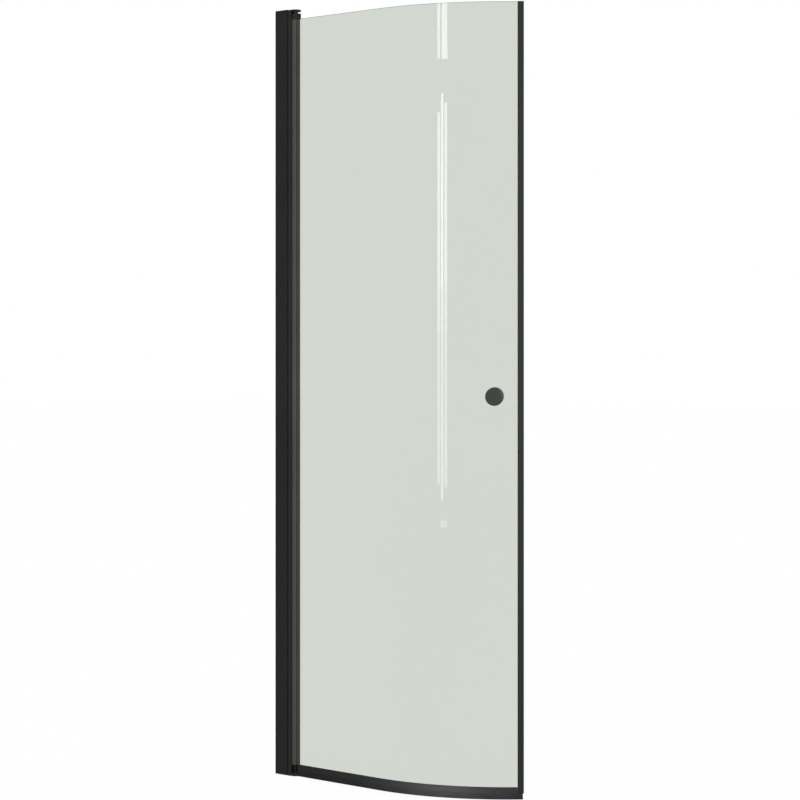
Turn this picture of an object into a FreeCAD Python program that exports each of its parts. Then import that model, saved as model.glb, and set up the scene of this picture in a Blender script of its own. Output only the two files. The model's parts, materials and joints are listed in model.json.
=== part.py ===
import FreeCAD, Part
import math
import os

# A curved, hinged shower door for half of a quarter-round corner, in millimetres.
# X runs from the wall along the straight part of the closed door, Y points into the
# shower and Z is up. The origin is on the wall face, at floor level, mid-width.

# Overall
DOOR_HEIGHT = 1900.0
BEND_START = 340.0
BEND_RADIUS = 450.0
BEND_ANGLE = 45.0
GLASS_THICKNESS = 6.0
GLASS_TOP_DROP = 24.6

# Motion
SWING_ANGLE = 90.0
LIFT = 5.0
TRAVEL_IN = 2.5
TRAVEL_OUT = 10.0

# Clearances
STATIC_FIT = 0.05
RUNNING_FIT = 0.05
SLIDING_FIT = 0.4
SEAM = 0.3
LEVEL_TOLERANCE = 1e-6

# Wall profile
PROFILE_WIDTH = 26.0
WALL_PROFILE_DEPTH = 40.0
WALL_PROFILE_WEB = 2.0
WALL_PROFILE_SIDE = 1.8
PROFILE_ROUND = 0.8
WALL_SCREW_RADIUS = 2.75
WALL_SCREW_COUNT = 4
WALL_SCREW_INSET = 100.0
WALL_CAP_PLUG_DEPTH = 5.0
CAP_PLUG_LENGTH = 14.0

# Lock screws that clamp the hinge post in the wall profile
LOCK_SCREW_RADIUS = 2.0
LOCK_SCREW_COUNT = 3
LOCK_SCREW_INSET = 250.0
LOCK_SCREW_SETBACK = 11.0
LOCK_HEAD_RADIUS = 3.6
LOCK_HEAD_HEIGHT = 2.2
LOCK_SOCKET_RADIUS = 1.2
LOCK_NUT_SIDE = 7.0
LOCK_NUT_HEIGHT = 3.0
LOCK_COVER_WALL = 1.2

# Hinge post
ADJUST_GAP = 3.0
POST_HEAD_LENGTH = 8.8
POST_TAIL_LENGTH = 31.0
POST_SKIN = 1.8
POST_LIP_ROUND = 3.0
PIVOT_OFFSET = 6.2
RECESS_GAP = 0.3
SEAL_WIDTH = 3.0
SEAL_DEPTH = 1.2
SEAL_GAP = 0.15

# End caps of the post
TOP_CAP_THICKNESS = 4.5
TOP_CAP_DROP = 1.2
TOP_BOSS_RADIUS = 6.0
BOTTOM_CAP_THICKNESS = 8.0
BOTTOM_ARM_RADIUS = 10.0
CAP_PLUG_DEPTH = 6.0
CAP_SCREW_RADIUS = 1.3
CAP_SCREW_HEAD_RADIUS = 2.1
CAP_SCREW_LENGTH = 16.0
CAP_SCREW_EDGE = 3.0
CAP_SCREW_SOCKET_RADIUS = 0.8

# Pivots
UPPER_PIN_RADIUS = 4.0
UPPER_PIN_FLAT_HALF = 3.1
UPPER_PIN_HEAD_RADIUS = 6.5
UPPER_PIN_HEAD_HEIGHT = 2.4
UPPER_PIN_REACH = 45.0
LIFT_GAP = 6.5
LOWER_PIN_RADIUS = 3.0
LOWER_PIN_FOOT_SKIN = 1.5
LOWER_PIN_CHAMFER = 0.5

# Rising cams
CAM_RADIUS = 6.0
CAM_LOBES = 2
CAM_BASE = 2.0
CAM_GAP = 0.15
CAM_STEP_CLEARANCE = 0.6
CAM_PEG_RADIUS = 0.9
CAM_PEG_LENGTH = 3.0
FOLLOWER_PLUG = 25.0

# Hinge profile of the door
BARREL_RADIUS = 10.5
BARREL_BORE = 5.6
CHANNEL_REACH = 17.0
CHANNEL_HALF = 5.3
INNER_LIP_REACH = 13.0
BORE_WALL = 5.2
RELIEF_WIDTH = 1.6
RELIEF_WALL = 1.5
NECK_HALF = 4.1
DOOR_CAP_HEIGHT = 14.0
DOOR_CAP_SKIN = 0.4
DOOR_CAP_NOSE = 4.0
DOOR_CAP_PLUG = 24.0
DOOR_CAP_ROUND = 0.8
BOSS_SOCKET_DEPTH = 6.0

# Glass gaskets
GASKET_SIDE = 1.0
GASKET_WEB = 1.2
GASKET_LIP = 0.2

# Bottom rail and sweep
RAIL_TOP = 28.4
RAIL_SEAT = 15.0
RAIL_WEB = 1.6
RAIL_HALF = 6.0
RAIL_ROUND = 1.0
RAIL_PIVOT_GAP = 11.0
RAIL_END_CAP = 2.0
RAIL_EDGE_GAP = 1.0
RIB_NECK_HALF = 1.2
RIB_NECK_HEIGHT = 3.0
RIB_HEAD_HALF = 3.0
RIB_HEAD_HEIGHT = 1.5
SWEEP_BODY_BOTTOM = 6.5
SWEEP_CLEARANCE = 0.6
SWEEP_FIN = 1.4
SWEEP_FIN_INSET = 1.0
SWEEP_END_INSET = 2.4

# Closing edge
CLOSING_HALF = 6.5
CLOSING_CHANNEL = 8.0
CLOSING_WEB = 1.8
CLOSING_CAP_HEIGHT = 10.0
CLOSING_FOOT_HEIGHT = 2.8
CLIP_DEPTH = 1.0
CLIP_HALF = 1.2
MAGNET_DEPTH = 6.0
MAGNET_HALF = 6.0
MAGNET_SKIN = 1.2

# Knob
KNOB_RADIUS = 21.5
KNOB_LENGTH = 32.0
KNOB_HEIGHT = 947.0
KNOB_SETBACK = 68.4
KNOB_ROUND = 3.5
KNOB_FOOT_RADIUS = 16.0
KNOB_FOOT_HEIGHT = 3.0
KNOB_BOLT_RADIUS = 3.0
KNOB_BOLT_DEPTH = 20.0
KNOB_WASHER_RADIUS = 15.0
KNOB_WASHER = 1.5
KNOB_HOLE_RADIUS = 6.4
GRUB_RADIUS = 2.0
GRUB_LENGTH = 9.0
GRUB_SOCKET_RADIUS = 1.0
GRUB_SOCKET_DEPTH = 2.0

# Places along X and Y that follow from the sizes above
PROFILE_HALF = PROFILE_WIDTH / 2
PROFILE_INNER_HALF = PROFILE_HALF - WALL_PROFILE_SIDE
TONGUE_HALF = PROFILE_INNER_HALF - SLIDING_FIT
CAVITY_HALF = TONGUE_HALF - POST_SKIN
HEAD_START = WALL_PROFILE_DEPTH + ADJUST_GAP
POST_FRONT = HEAD_START + POST_HEAD_LENGTH
POST_TAIL = HEAD_START - POST_TAIL_LENGTH
PIVOT_X = POST_FRONT + PIVOT_OFFSET
RECESS_RADIUS = BARREL_RADIUS + RECESS_GAP
SEAL_ROOT = PIVOT_X - RECESS_RADIUS - SEAL_DEPTH
CAVITY_START = POST_TAIL + POST_SKIN
CAVITY_END = SEAL_ROOT - POST_SKIN
LOCK_SCREW_X = WALL_PROFILE_DEPTH - LOCK_SCREW_SETBACK
LOCK_NUT_FRONT = CAVITY_HALF - STATIC_FIT
LOCK_NUT_BACK = LOCK_NUT_FRONT - LOCK_NUT_HEIGHT
LOCK_HEAD_TOP = PROFILE_HALF + LOCK_HEAD_HEIGHT
CAP_SCREW_X = POST_FRONT - CAP_SCREW_EDGE
CAP_SCREW_Y = PROFILE_HALF - CAP_SCREW_EDGE

# Places along the door's plan line
GLASS_HALF = GLASS_THICKNESS / 2
SLOT_HALF = GLASS_HALF + GASKET_SIDE + STATIC_FIT
SLOT_FLOOR = PIVOT_X + BARREL_BORE + BORE_WALL
CHANNEL_MOUTH = PIVOT_X + CHANNEL_REACH
INNER_LIP_END = PIVOT_X + INNER_LIP_REACH
GLASS_START = SLOT_FLOOR + GASKET_WEB + STATIC_FIT
BEND_TURN = math.radians(BEND_ANGLE)
BEND_END = BEND_START + BEND_RADIUS * BEND_TURN
CLOSING_MOUTH = BEND_END
CLOSING_FACE = CLOSING_MOUTH + CLOSING_CHANNEL
CLOSING_FLOOR = CLOSING_FACE - CLOSING_WEB
MAGNET_FACE = CLOSING_FACE + MAGNET_DEPTH
GLASS_END = CLOSING_FLOOR - GASKET_WEB - STATIC_FIT
RAIL_START = PIVOT_X + RAIL_PIVOT_GAP
RAIL_BODY_START = RAIL_START + RAIL_END_CAP
RAIL_END = CLOSING_MOUTH - RAIL_EDGE_GAP
SWEEP_CAP_END = MAGNET_FACE - SWEEP_END_INSET
SWEEP_END = SWEEP_CAP_END - RAIL_END_CAP
KNOB_S = MAGNET_FACE - KNOB_SETBACK
KNOB_SEAT = GLASS_HALF + KNOB_WASHER

# Heights
POST_BOTTOM = BOTTOM_CAP_THICKNESS
POST_CAP_TOP = DOOR_HEIGHT - TOP_CAP_DROP
POST_TOP = POST_CAP_TOP - TOP_CAP_THICKNESS
WALL_PROFILE_TOP = DOOR_HEIGHT - TOP_CAP_THICKNESS
DOOR_CAP_TOP = POST_TOP - LIFT_GAP
TOP_BOSS_BOTTOM = DOOR_CAP_TOP + SEAM
HINGE_TOP = DOOR_CAP_TOP - DOOR_CAP_HEIGHT
HINGE_BOTTOM = RAIL_TOP + SEAM
GLASS_TOP = DOOR_HEIGHT - GLASS_TOP_DROP
GLASS_BOTTOM = RAIL_SEAT + RAIL_WEB + GASKET_WEB + STATIC_FIT
UPPER_PIN_SEAT = POST_CAP_TOP - UPPER_PIN_HEAD_HEIGHT
UPPER_PIN_BOTTOM = POST_TOP - UPPER_PIN_REACH
CAM_RISE_PER_RADIAN = LIFT / math.radians(SWING_ANGLE)
CAM_LOBE_ANGLE = 360.0 / CAM_LOBES
CAM_LOBE_RISE = CAM_RISE_PER_RADIAN * math.radians(CAM_LOBE_ANGLE)
CAM_LOW = BOTTOM_CAP_THICKNESS + CAM_BASE
CAM_HIGH = CAM_LOW + CAM_LOBE_RISE
FOLLOWER_TOP = HINGE_BOTTOM + FOLLOWER_PLUG
CLOSING_FOOT = RAIL_SEAT + SEAM
CLOSING_BOTTOM = CLOSING_FOOT + CLOSING_FOOT_HEIGHT
CLOSING_TOP = GLASS_TOP - CLOSING_CAP_HEIGHT


# Basic shapes

def block(x0, x1, y0, y1, z0, z1):
    """A box between two corners."""
    return Part.makeBox(x1 - x0, y1 - y0, z1 - z0, FreeCAD.Vector(x0, y0, z0))


def even_block(x0, x1, half, z0, z1):
    """A box that lies evenly about the plane Y = 0."""
    return block(x0, x1, -half, half, z0, z1)


def rod(x, y, radius, z0, z1):
    """An upright cylinder."""
    return Part.makeCylinder(radius, z1 - z0, FreeCAD.Vector(x, y, z0))


def pivot_rod(radius, z0, z1):
    """An upright cylinder on the hinge axis."""
    return rod(PIVOT_X, 0, radius, z0, z1)


def joined(shapes):
    """Several solids that meet or overlap as one, with no seams left on their faces."""
    return shapes[0].fuse(shapes[1:]).removeSplitter()


def spread(count, inset):
    """Heights evenly spaced over the door, the outer ones at an inset from its ends."""
    step = (DOOR_HEIGHT - 2 * inset) / (count - 1)
    return [inset + index * step for index in range(count)]


def rounded_uprights(shape, radius, chosen):
    """Fillets the upright edges whose plan position passes a test."""
    edges = []
    for edge in shape.Edges:
        start = edge.Vertexes[0].Point
        end = edge.Vertexes[-1].Point
        along = end.sub(start)
        if along.Length > radius and math.hypot(along.x, along.y) < LEVEL_TOLERANCE and chosen(start):
            edges.append(edge)
    return shape.makeFillet(radius, edges)


def rounded_rims(shape, radius, chosen):
    """Fillets the level edges whose middle passes a test."""
    level = [edge for edge in shape.Edges if edge.BoundBox.ZLength < LEVEL_TOLERANCE]
    return shape.makeFillet(radius, [edge for edge in level if chosen(edge.CenterOfMass)])


# The door's plan line: straight from the wall, an arc into the shower, straight again

def plan_turn(s):
    """How far the plan line has turned, in radians, at a distance s along it."""
    return min(max(0.0, (s - BEND_START) / BEND_RADIUS), BEND_TURN)


def plan_point(s, offset, z):
    """The point at a distance s along the plan line, set off towards the inside."""
    turn = plan_turn(s)
    run_out = max(0.0, s - BEND_END)
    radius = BEND_RADIUS - offset
    x = min(s, BEND_START) + radius * math.sin(turn) + run_out * math.cos(turn)
    y = BEND_RADIUS - radius * math.cos(turn) + run_out * math.sin(turn)
    return FreeCAD.Vector(x, y, z)


def plan_side(s0, s1, offset, z):
    """The edges of one side of a strip that follows the plan line."""
    edges = []
    if s0 < BEND_START:
        end = min(s1, BEND_START)
        edges.append(Part.LineSegment(plan_point(s0, offset, z), plan_point(end, offset, z)))
    first = max(s0, BEND_START)
    last = min(s1, BEND_END)
    if last > first:
        edges.append(Part.Arc(*[plan_point(s, offset, z) for s in (first, (first + last) / 2, last)]))
    if s1 > BEND_END:
        start = max(s0, BEND_END)
        edges.append(Part.LineSegment(plan_point(start, offset, z), plan_point(s1, offset, z)))
    return [edge.toShape() for edge in edges]


def band(offset0, offset1, s0, s1, z0, z1):
    """A strip of the plan line between two offsets and two distances, raised from z0 to z1."""
    start = Part.makeLine(plan_point(s0, offset0, z0), plan_point(s0, offset1, z0))
    end = Part.makeLine(plan_point(s1, offset0, z0), plan_point(s1, offset1, z0))
    edges = plan_side(s0, s1, offset0, z0) + [end] + plan_side(s0, s1, offset1, z0) + [start]
    outline = Part.Wire(Part.__sortEdges__(edges))
    return Part.Face(outline).extrude(FreeCAD.Vector(0, 0, z1 - z0))


def even_band(half, s0, s1, z0, z1):
    """A strip that lies evenly about the plan line."""
    return band(-half, half, s0, s1, z0, z1)


# Wall side

def lock_rod(radius, y0, y1, z):
    """A cylinder along Y on the axis of the lock screw at height z."""
    return Part.makeCylinder(radius, y1 - y0, FreeCAD.Vector(LOCK_SCREW_X, y0, z), FreeCAD.Vector(0, 1, 0))


def wall_profile():
    """The U-shaped extrusion that is screwed to the wall."""
    profile = even_block(0, WALL_PROFILE_DEPTH, PROFILE_HALF, 0, WALL_PROFILE_TOP)
    profile = rounded_uprights(profile, PROFILE_ROUND, lambda point: point.x > WALL_PROFILE_WEB)
    inside = even_block(WALL_PROFILE_WEB, WALL_PROFILE_DEPTH, PROFILE_INNER_HALF, 0, WALL_PROFILE_TOP)
    holes = []
    for z in spread(WALL_SCREW_COUNT, WALL_SCREW_INSET):
        foot = FreeCAD.Vector(0, 0, z)
        holes.append(Part.makeCylinder(WALL_SCREW_RADIUS, WALL_PROFILE_WEB, foot, FreeCAD.Vector(1, 0, 0)))
    for z in spread(LOCK_SCREW_COUNT, LOCK_SCREW_INSET):
        holes.append(lock_rod(LOCK_SCREW_RADIUS + STATIC_FIT, 0, PROFILE_HALF, z))
    return profile.cut([inside] + holes)


def wall_profile_top_cap():
    """The plate that closes the top of the wall profile, with a plug behind the post."""
    plate = even_block(0, WALL_PROFILE_DEPTH, PROFILE_HALF, WALL_PROFILE_TOP, DOOR_HEIGHT)
    plate = rounded_uprights(plate, PROFILE_ROUND, lambda point: point.x > WALL_PROFILE_WEB)
    plug_start = WALL_PROFILE_WEB + STATIC_FIT
    plug = even_block(plug_start, plug_start + WALL_CAP_PLUG_DEPTH, PROFILE_INNER_HALF - STATIC_FIT,
                      WALL_PROFILE_TOP - CAP_PLUG_LENGTH, WALL_PROFILE_TOP)
    return joined([plate, plug])


def lock_screws():
    """Pan-head screws on the inner side, through the wall profile into their nuts."""
    screws = []
    for z in spread(LOCK_SCREW_COUNT, LOCK_SCREW_INSET):
        head = lock_rod(LOCK_HEAD_RADIUS, PROFILE_HALF, LOCK_HEAD_TOP, z)
        rim = [edge for edge in head.Edges if edge.CenterOfMass.y > LOCK_HEAD_TOP - STATIC_FIT]
        head = head.makeFillet(LOCK_HEAD_HEIGHT / 2, rim)
        shank = lock_rod(LOCK_SCREW_RADIUS, LOCK_NUT_BACK, PROFILE_HALF, z)
        socket = lock_rod(LOCK_SOCKET_RADIUS, LOCK_HEAD_TOP - LOCK_HEAD_HEIGHT / 2, LOCK_HEAD_TOP, z)
        screws.append(joined([head, shank]).cut(socket))
    return Part.makeCompound(screws)


def lock_nuts():
    """Square nuts inside the post, one for each lock screw."""
    half = LOCK_NUT_SIDE / 2
    left, right = LOCK_SCREW_X - half, LOCK_SCREW_X + half
    nuts = []
    for z in spread(LOCK_SCREW_COUNT, LOCK_SCREW_INSET):
        nut = block(left, right, LOCK_NUT_BACK, LOCK_NUT_FRONT, z - half, z + half)
        nuts.append(nut.cut(lock_rod(LOCK_SCREW_RADIUS + STATIC_FIT, LOCK_NUT_BACK, LOCK_NUT_FRONT, z)))
    return Part.makeCompound(nuts)


def lock_screw_covers():
    """Covers that snap over the heads of the lock screws."""
    inside = LOCK_HEAD_RADIUS + STATIC_FIT
    roof = LOCK_HEAD_TOP + STATIC_FIT
    crown = roof + LOCK_COVER_WALL
    covers = []
    for z in spread(LOCK_SCREW_COUNT, LOCK_SCREW_INSET):
        cover = lock_rod(inside + LOCK_COVER_WALL, PROFILE_HALF, crown, z)
        rim = [edge for edge in cover.Edges if edge.CenterOfMass.y > crown - STATIC_FIT]
        cover = cover.makeFillet(LOCK_COVER_WALL, rim)
        covers.append(cover.cut(lock_rod(inside, PROFILE_HALF, roof, z)))
    return Part.makeCompound(covers)


# Hinge post

def hinge_post():
    """The extrusion that slides in the wall profile and cups the door's barrel."""
    tongue = even_block(POST_TAIL, HEAD_START + POST_SKIN, TONGUE_HALF, POST_BOTTOM, POST_TOP)
    foot = even_block(POST_TAIL, HEAD_START - STATIC_FIT, TONGUE_HALF, SEAM, POST_BOTTOM)
    head = even_block(HEAD_START, POST_FRONT, PROFILE_HALF, POST_BOTTOM, POST_TOP)
    head = rounded_uprights(head, POST_LIP_ROUND, lambda point: point.x > HEAD_START)
    cavity = even_block(CAVITY_START, CAVITY_END, CAVITY_HALF, SEAM, POST_TOP)
    recess = pivot_rod(RECESS_RADIUS, POST_BOTTOM, POST_TOP)
    groove = even_block(SEAL_ROOT, POST_FRONT, SEAL_WIDTH / 2, POST_BOTTOM, POST_TOP)
    ports = cap_screw_shanks(CAP_SCREW_RADIUS + STATIC_FIT, POST_BOTTOM, POST_TOP)
    post = joined([head, tongue, foot]).cut([cavity, recess, groove] + ports)
    slot_half = LOCK_SCREW_RADIUS + SLIDING_FIT
    slot_start = LOCK_SCREW_X - TRAVEL_OUT
    slot_end = LOCK_SCREW_X + TRAVEL_IN
    for z in spread(LOCK_SCREW_COUNT, LOCK_SCREW_INSET):
        slot = [block(slot_start, slot_end, 0, TONGUE_HALF, z - slot_half, z + slot_half)]
        for shift in (-TRAVEL_OUT, TRAVEL_IN):
            end = lock_rod(slot_half, 0, TONGUE_HALF, z)
            end.translate(FreeCAD.Vector(shift, 0, 0))
            slot.append(end)
        post = post.cut(slot)
    return post


def post_gap_seal():
    """A rubber strip in the post's recess that closes the gap to the barrel."""
    half = SEAL_WIDTH / 2 - STATIC_FIT
    strip = even_block(SEAL_ROOT, PIVOT_X, half, POST_BOTTOM, POST_TOP)
    return strip.cut(pivot_rod(BARREL_RADIUS + SEAL_GAP, POST_BOTTOM, POST_TOP))


def cap_plug(z0, z1):
    """The part of an end cap that is pushed into the post's hollow."""
    end = CAVITY_END - STATIC_FIT
    return even_block(end - CAP_PLUG_DEPTH, end, CAVITY_HALF - STATIC_FIT, z0, z1)


def cap_screw_shanks(radius, z0, z1):
    """Upright cylinders on the axes of a cap's two screws."""
    return [rod(CAP_SCREW_X, side * CAP_SCREW_Y, radius, z0, z1) for side in (-1, 1)]


def cap_screw_heads(radius, outer_z, inward):
    """Countersunk cones at a cap's outer face, narrowing inwards along Z."""
    depth = radius - CAP_SCREW_RADIUS
    direction = FreeCAD.Vector(0, 0, inward)
    return [Part.makeCone(radius, CAP_SCREW_RADIUS, depth, FreeCAD.Vector(CAP_SCREW_X, y, outer_z), direction)
            for y in (-CAP_SCREW_Y, CAP_SCREW_Y)]


def post_top_cap():
    """The upper end cap: a plate with a round nose over the hinge and a boss round the pin."""
    plate = even_block(HEAD_START, PIVOT_X, PROFILE_HALF, POST_TOP, POST_CAP_TOP)
    nose = pivot_rod(PROFILE_HALF, POST_TOP, POST_CAP_TOP)
    plug = cap_plug(POST_TOP - CAP_PLUG_LENGTH, POST_TOP)
    boss = pivot_rod(TOP_BOSS_RADIUS, TOP_BOSS_BOTTOM, POST_TOP)
    bore = pivot_rod(UPPER_PIN_RADIUS + RUNNING_FIT, TOP_BOSS_BOTTOM, POST_CAP_TOP)
    recess = pivot_rod(UPPER_PIN_HEAD_RADIUS + SLIDING_FIT, UPPER_PIN_SEAT, POST_CAP_TOP)
    holes = cap_screw_shanks(CAP_SCREW_RADIUS + STATIC_FIT, POST_TOP, POST_CAP_TOP)
    sinks = cap_screw_heads(CAP_SCREW_HEAD_RADIUS + STATIC_FIT, POST_CAP_TOP, -1)
    return joined([plate, nose, plug, boss]).cut([bore, recess] + holes + sinks)


def post_bottom_cap():
    """The lower end cap: a plate with an arm under the hinge, which carries the lower pin."""
    plate = even_block(HEAD_START, POST_FRONT, PROFILE_HALF, 0, POST_BOTTOM)
    plate = rounded_uprights(plate, POST_LIP_ROUND, lambda point: point.x > HEAD_START)
    arm = even_block(HEAD_START, PIVOT_X, BOTTOM_ARM_RADIUS, 0, POST_BOTTOM)
    nose = pivot_rod(BOTTOM_ARM_RADIUS, 0, POST_BOTTOM)
    plug = cap_plug(POST_BOTTOM, POST_BOTTOM + CAP_PLUG_LENGTH)
    pin_hole = pivot_rod(LOWER_PIN_RADIUS, LOWER_PIN_FOOT_SKIN, POST_BOTTOM)
    holes = cap_screw_shanks(CAP_SCREW_RADIUS + STATIC_FIT, 0, POST_BOTTOM)
    sinks = cap_screw_heads(CAP_SCREW_HEAD_RADIUS + STATIC_FIT, 0, 1)
    pegs = cam_pegs(CAM_PEG_RADIUS + STATIC_FIT, CAM_PEG_LENGTH + STATIC_FIT)
    return joined([plate, arm, nose, plug]).cut([pin_hole] + holes + sinks + pegs)


def post_cap_screws():
    """Countersunk screws, two through each end cap into the ports of the post."""
    screws = []
    for outer_z, inward in ((0, 1), (POST_CAP_TOP, -1)):
        heads = cap_screw_heads(CAP_SCREW_HEAD_RADIUS, outer_z, inward)
        ends = sorted((outer_z, outer_z + inward * CAP_SCREW_LENGTH))
        sockets = sorted((outer_z, outer_z + inward * CAP_SCREW_SOCKET_RADIUS))
        shanks = cap_screw_shanks(CAP_SCREW_RADIUS, *ends)
        holes = cap_screw_shanks(CAP_SCREW_SOCKET_RADIUS, *sockets)
        screws += [joined([head, shank]).cut(hole) for head, shank, hole in zip(heads, shanks, holes)]
    return Part.makeCompound(screws)


# Pivots

def lower_pivot_pin():
    """The fixed pin that the door turns and rises on."""
    pin = pivot_rod(LOWER_PIN_RADIUS, LOWER_PIN_FOOT_SKIN, FOLLOWER_TOP)
    rims = [edge for edge in pin.Edges if edge.BoundBox.ZLength < STATIC_FIT]
    return pin.makeChamfer(LOWER_PIN_CHAMFER, rims)


def key_flats(half, z0, z1):
    """The two blocks that leave a pair of flats on a round pin or in a round hole."""
    reach = 2 * UPPER_PIN_RADIUS
    return [block(PIVOT_X - reach, PIVOT_X + reach, half, reach, z0, z1),
            block(PIVOT_X - reach, PIVOT_X + reach, -reach, -half, z0, z1)]


def upper_pivot_pin():
    """The pin that turns with the door and lets it slide up and down on two flats."""
    head = pivot_rod(UPPER_PIN_HEAD_RADIUS, UPPER_PIN_SEAT, POST_CAP_TOP)
    shank = pivot_rod(UPPER_PIN_RADIUS, UPPER_PIN_BOTTOM, UPPER_PIN_SEAT)
    return joined([head, shank]).cut(key_flats(UPPER_PIN_FLAT_HALF, UPPER_PIN_BOTTOM, TOP_BOSS_BOTTOM))


# Rising cams: a ramp that gains height as the door swings out, the same on both halves

def cam_ramps(raised, turned, height):
    """Solids above (or below) the ramps, one for each lobe, on the hinge axis."""
    same_direction = 1
    pitch = CAM_RISE_PER_RADIAN * 2 * math.pi
    inner = Part.makeHelix(pitch, CAM_LOBE_RISE, LOWER_PIN_RADIUS / 2, 0, True)
    outer = Part.makeHelix(pitch, CAM_LOBE_RISE, 2 * CAM_RADIUS, 0, True)
    ramp = Part.makeRuledSurface(inner.Edges[0], outer.Edges[0], same_direction)
    solids = []
    for lobe in range(CAM_LOBES):
        solid = ramp.extrude(FreeCAD.Vector(0, 0, height))
        solid.rotate(FreeCAD.Vector(), FreeCAD.Vector(0, 0, 1), lobe * CAM_LOBE_ANGLE - turned)
        solid.translate(FreeCAD.Vector(PIVOT_X, 0, CAM_LOW + raised))
        solids.append(solid)
    return solids


def pivot_ring(inner, outer, z0, z1):
    """A plain ring on the hinge axis."""
    return pivot_rod(outer, z0, z1).cut(pivot_rod(inner, z0, z1))


def cam_pegs(radius, length):
    """Two pegs under the lower cam, either side of the pin."""
    offset = (LOWER_PIN_RADIUS + CAM_RADIUS) / 2
    return [rod(PIVOT_X, side * offset, radius, POST_BOTTOM - length, POST_BOTTOM) for side in (-1, 1)]


def lower_cam():
    """The fixed half of the rising cam, pegged to the bottom cap."""
    inner = LOWER_PIN_RADIUS + STATIC_FIT
    ring = pivot_ring(inner, CAM_RADIUS, POST_BOTTOM, CAM_HIGH)
    lobes = [ring.common(ramp) for ramp in cam_ramps(0, 0, -CAM_HIGH)]
    base = pivot_ring(inner, CAM_RADIUS, POST_BOTTOM, CAM_LOW)
    return joined([base] + lobes + cam_pegs(CAM_PEG_RADIUS, CAM_PEG_LENGTH))


def cam_follower():
    """The upper half of the cam, plugged into the foot of the door's barrel."""
    inner = LOWER_PIN_RADIUS + RUNNING_FIT
    ring = pivot_ring(inner, CAM_RADIUS, CAM_LOW, HINGE_BOTTOM)
    lobes = [ring.common(ramp) for ramp in cam_ramps(CAM_GAP, CAM_STEP_CLEARANCE, HINGE_BOTTOM)]
    plug = pivot_ring(inner, BARREL_BORE - STATIC_FIT, HINGE_BOTTOM, FOLLOWER_TOP)
    return joined(lobes + [plug])


# Hinge side of the door

def door_hinge_profile():
    """The door's hinge extrusion: a round barrel, a groove beside it and a seat for the glass.

    The seat has a long flange outside and a short lip inside.
    """
    bottom, top = HINGE_BOTTOM, HINGE_TOP
    root = SLOT_FLOOR - RELIEF_WALL
    groove = even_block(root - RELIEF_WIDTH, root, BARREL_RADIUS, bottom, top)
    barrel = pivot_rod(BARREL_RADIUS, bottom, top).cut(groove)
    neck = even_block(PIVOT_X, SLOT_FLOOR, NECK_HALF, bottom, top)
    flange = block(root, CHANNEL_MOUTH, -CHANNEL_HALF, 0, bottom, top)
    flange = rounded_uprights(flange, PROFILE_ROUND, lambda point: point.x > root and point.y < 0)
    lip = block(root, INNER_LIP_END, 0, CHANNEL_HALF, bottom, top)
    lip = rounded_uprights(lip, PROFILE_ROUND, lambda point: point.x > root and point.y > 0)
    slot = even_block(SLOT_FLOOR, CHANNEL_MOUTH, SLOT_HALF, bottom, top)
    bore = pivot_rod(BARREL_BORE, bottom, top)
    return joined([barrel, neck, flange, lip]).cut([slot, bore])


def door_top_cap():
    """The cap on the hinge profile: a finger outside the glass and a plug keyed to the pin."""
    bottom, top = HINGE_TOP, DOOR_CAP_TOP
    half = CHANNEL_HALF + DOOR_CAP_SKIN
    nose = CHANNEL_MOUTH + DOOR_CAP_NOSE
    finger = block(PIVOT_X, nose, -half, 0, bottom, top)
    finger = rounded_uprights(finger, DOOR_CAP_ROUND, lambda point: point.x > PIVOT_X and point.y < 0)
    heel = block(PIVOT_X, INNER_LIP_END, 0, half, bottom, top)
    heel = rounded_uprights(heel, DOOR_CAP_ROUND, lambda point: point.x > PIVOT_X and point.y > 0)
    glass_slot = even_block(GLASS_START - STATIC_FIT, nose, GLASS_HALF + STATIC_FIT, bottom, GLASS_TOP + SEAM)
    over_glass = block(INNER_LIP_END, nose, -GLASS_HALF - STATIC_FIT, half, bottom, top)
    body = joined([finger, heel]).cut([glass_slot, over_glass])
    barrel = pivot_rod(BARREL_RADIUS, bottom, top)
    plug_bottom = bottom - DOOR_CAP_PLUG
    plug = pivot_rod(BARREL_BORE - STATIC_FIT, plug_bottom, bottom)
    keyhole = pivot_rod(UPPER_PIN_RADIUS + RUNNING_FIT, plug_bottom, top)
    keyhole = keyhole.cut(key_flats(UPPER_PIN_FLAT_HALF + RUNNING_FIT, plug_bottom, top))
    boss_socket = pivot_rod(TOP_BOSS_RADIUS + SLIDING_FIT, top - BOSS_SOCKET_DEPTH, top)
    return joined([body, barrel, plug]).cut([keyhole, boss_socket])


def hinge_glass_gasket():
    """The rubber between the hinge profile and the glass, with a long leg outside."""
    bottom, top = HINGE_BOTTOM, HINGE_TOP
    half = SLOT_HALF - STATIC_FIT
    end = CHANNEL_MOUTH + GASKET_LIP
    long_leg = block(SLOT_FLOOR, end, -half, 0, bottom, top)
    short_leg = block(SLOT_FLOOR, INNER_LIP_END, 0, half, bottom, top)
    glass_edge = even_block(GLASS_START - STATIC_FIT, end, GLASS_HALF + STATIC_FIT, bottom, top)
    return joined([long_leg, short_leg]).cut(glass_edge)


# Knob axis

def knob_placement():
    """Puts a shape made along Z on the knob's axis, with Z pointing out of the shower."""
    turn = plan_turn(KNOB_S)
    outward = FreeCAD.Vector(math.sin(turn), -math.cos(turn), 0)
    rotation = FreeCAD.Rotation(FreeCAD.Vector(0, 0, 1), outward)
    return FreeCAD.Placement(plan_point(KNOB_S, 0, KNOB_HEIGHT), rotation)


def on_knob_axis(shape):
    """A copy of a shape made along Z, moved to the knob's axis."""
    return shape.transformed(knob_placement().toMatrix())


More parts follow.
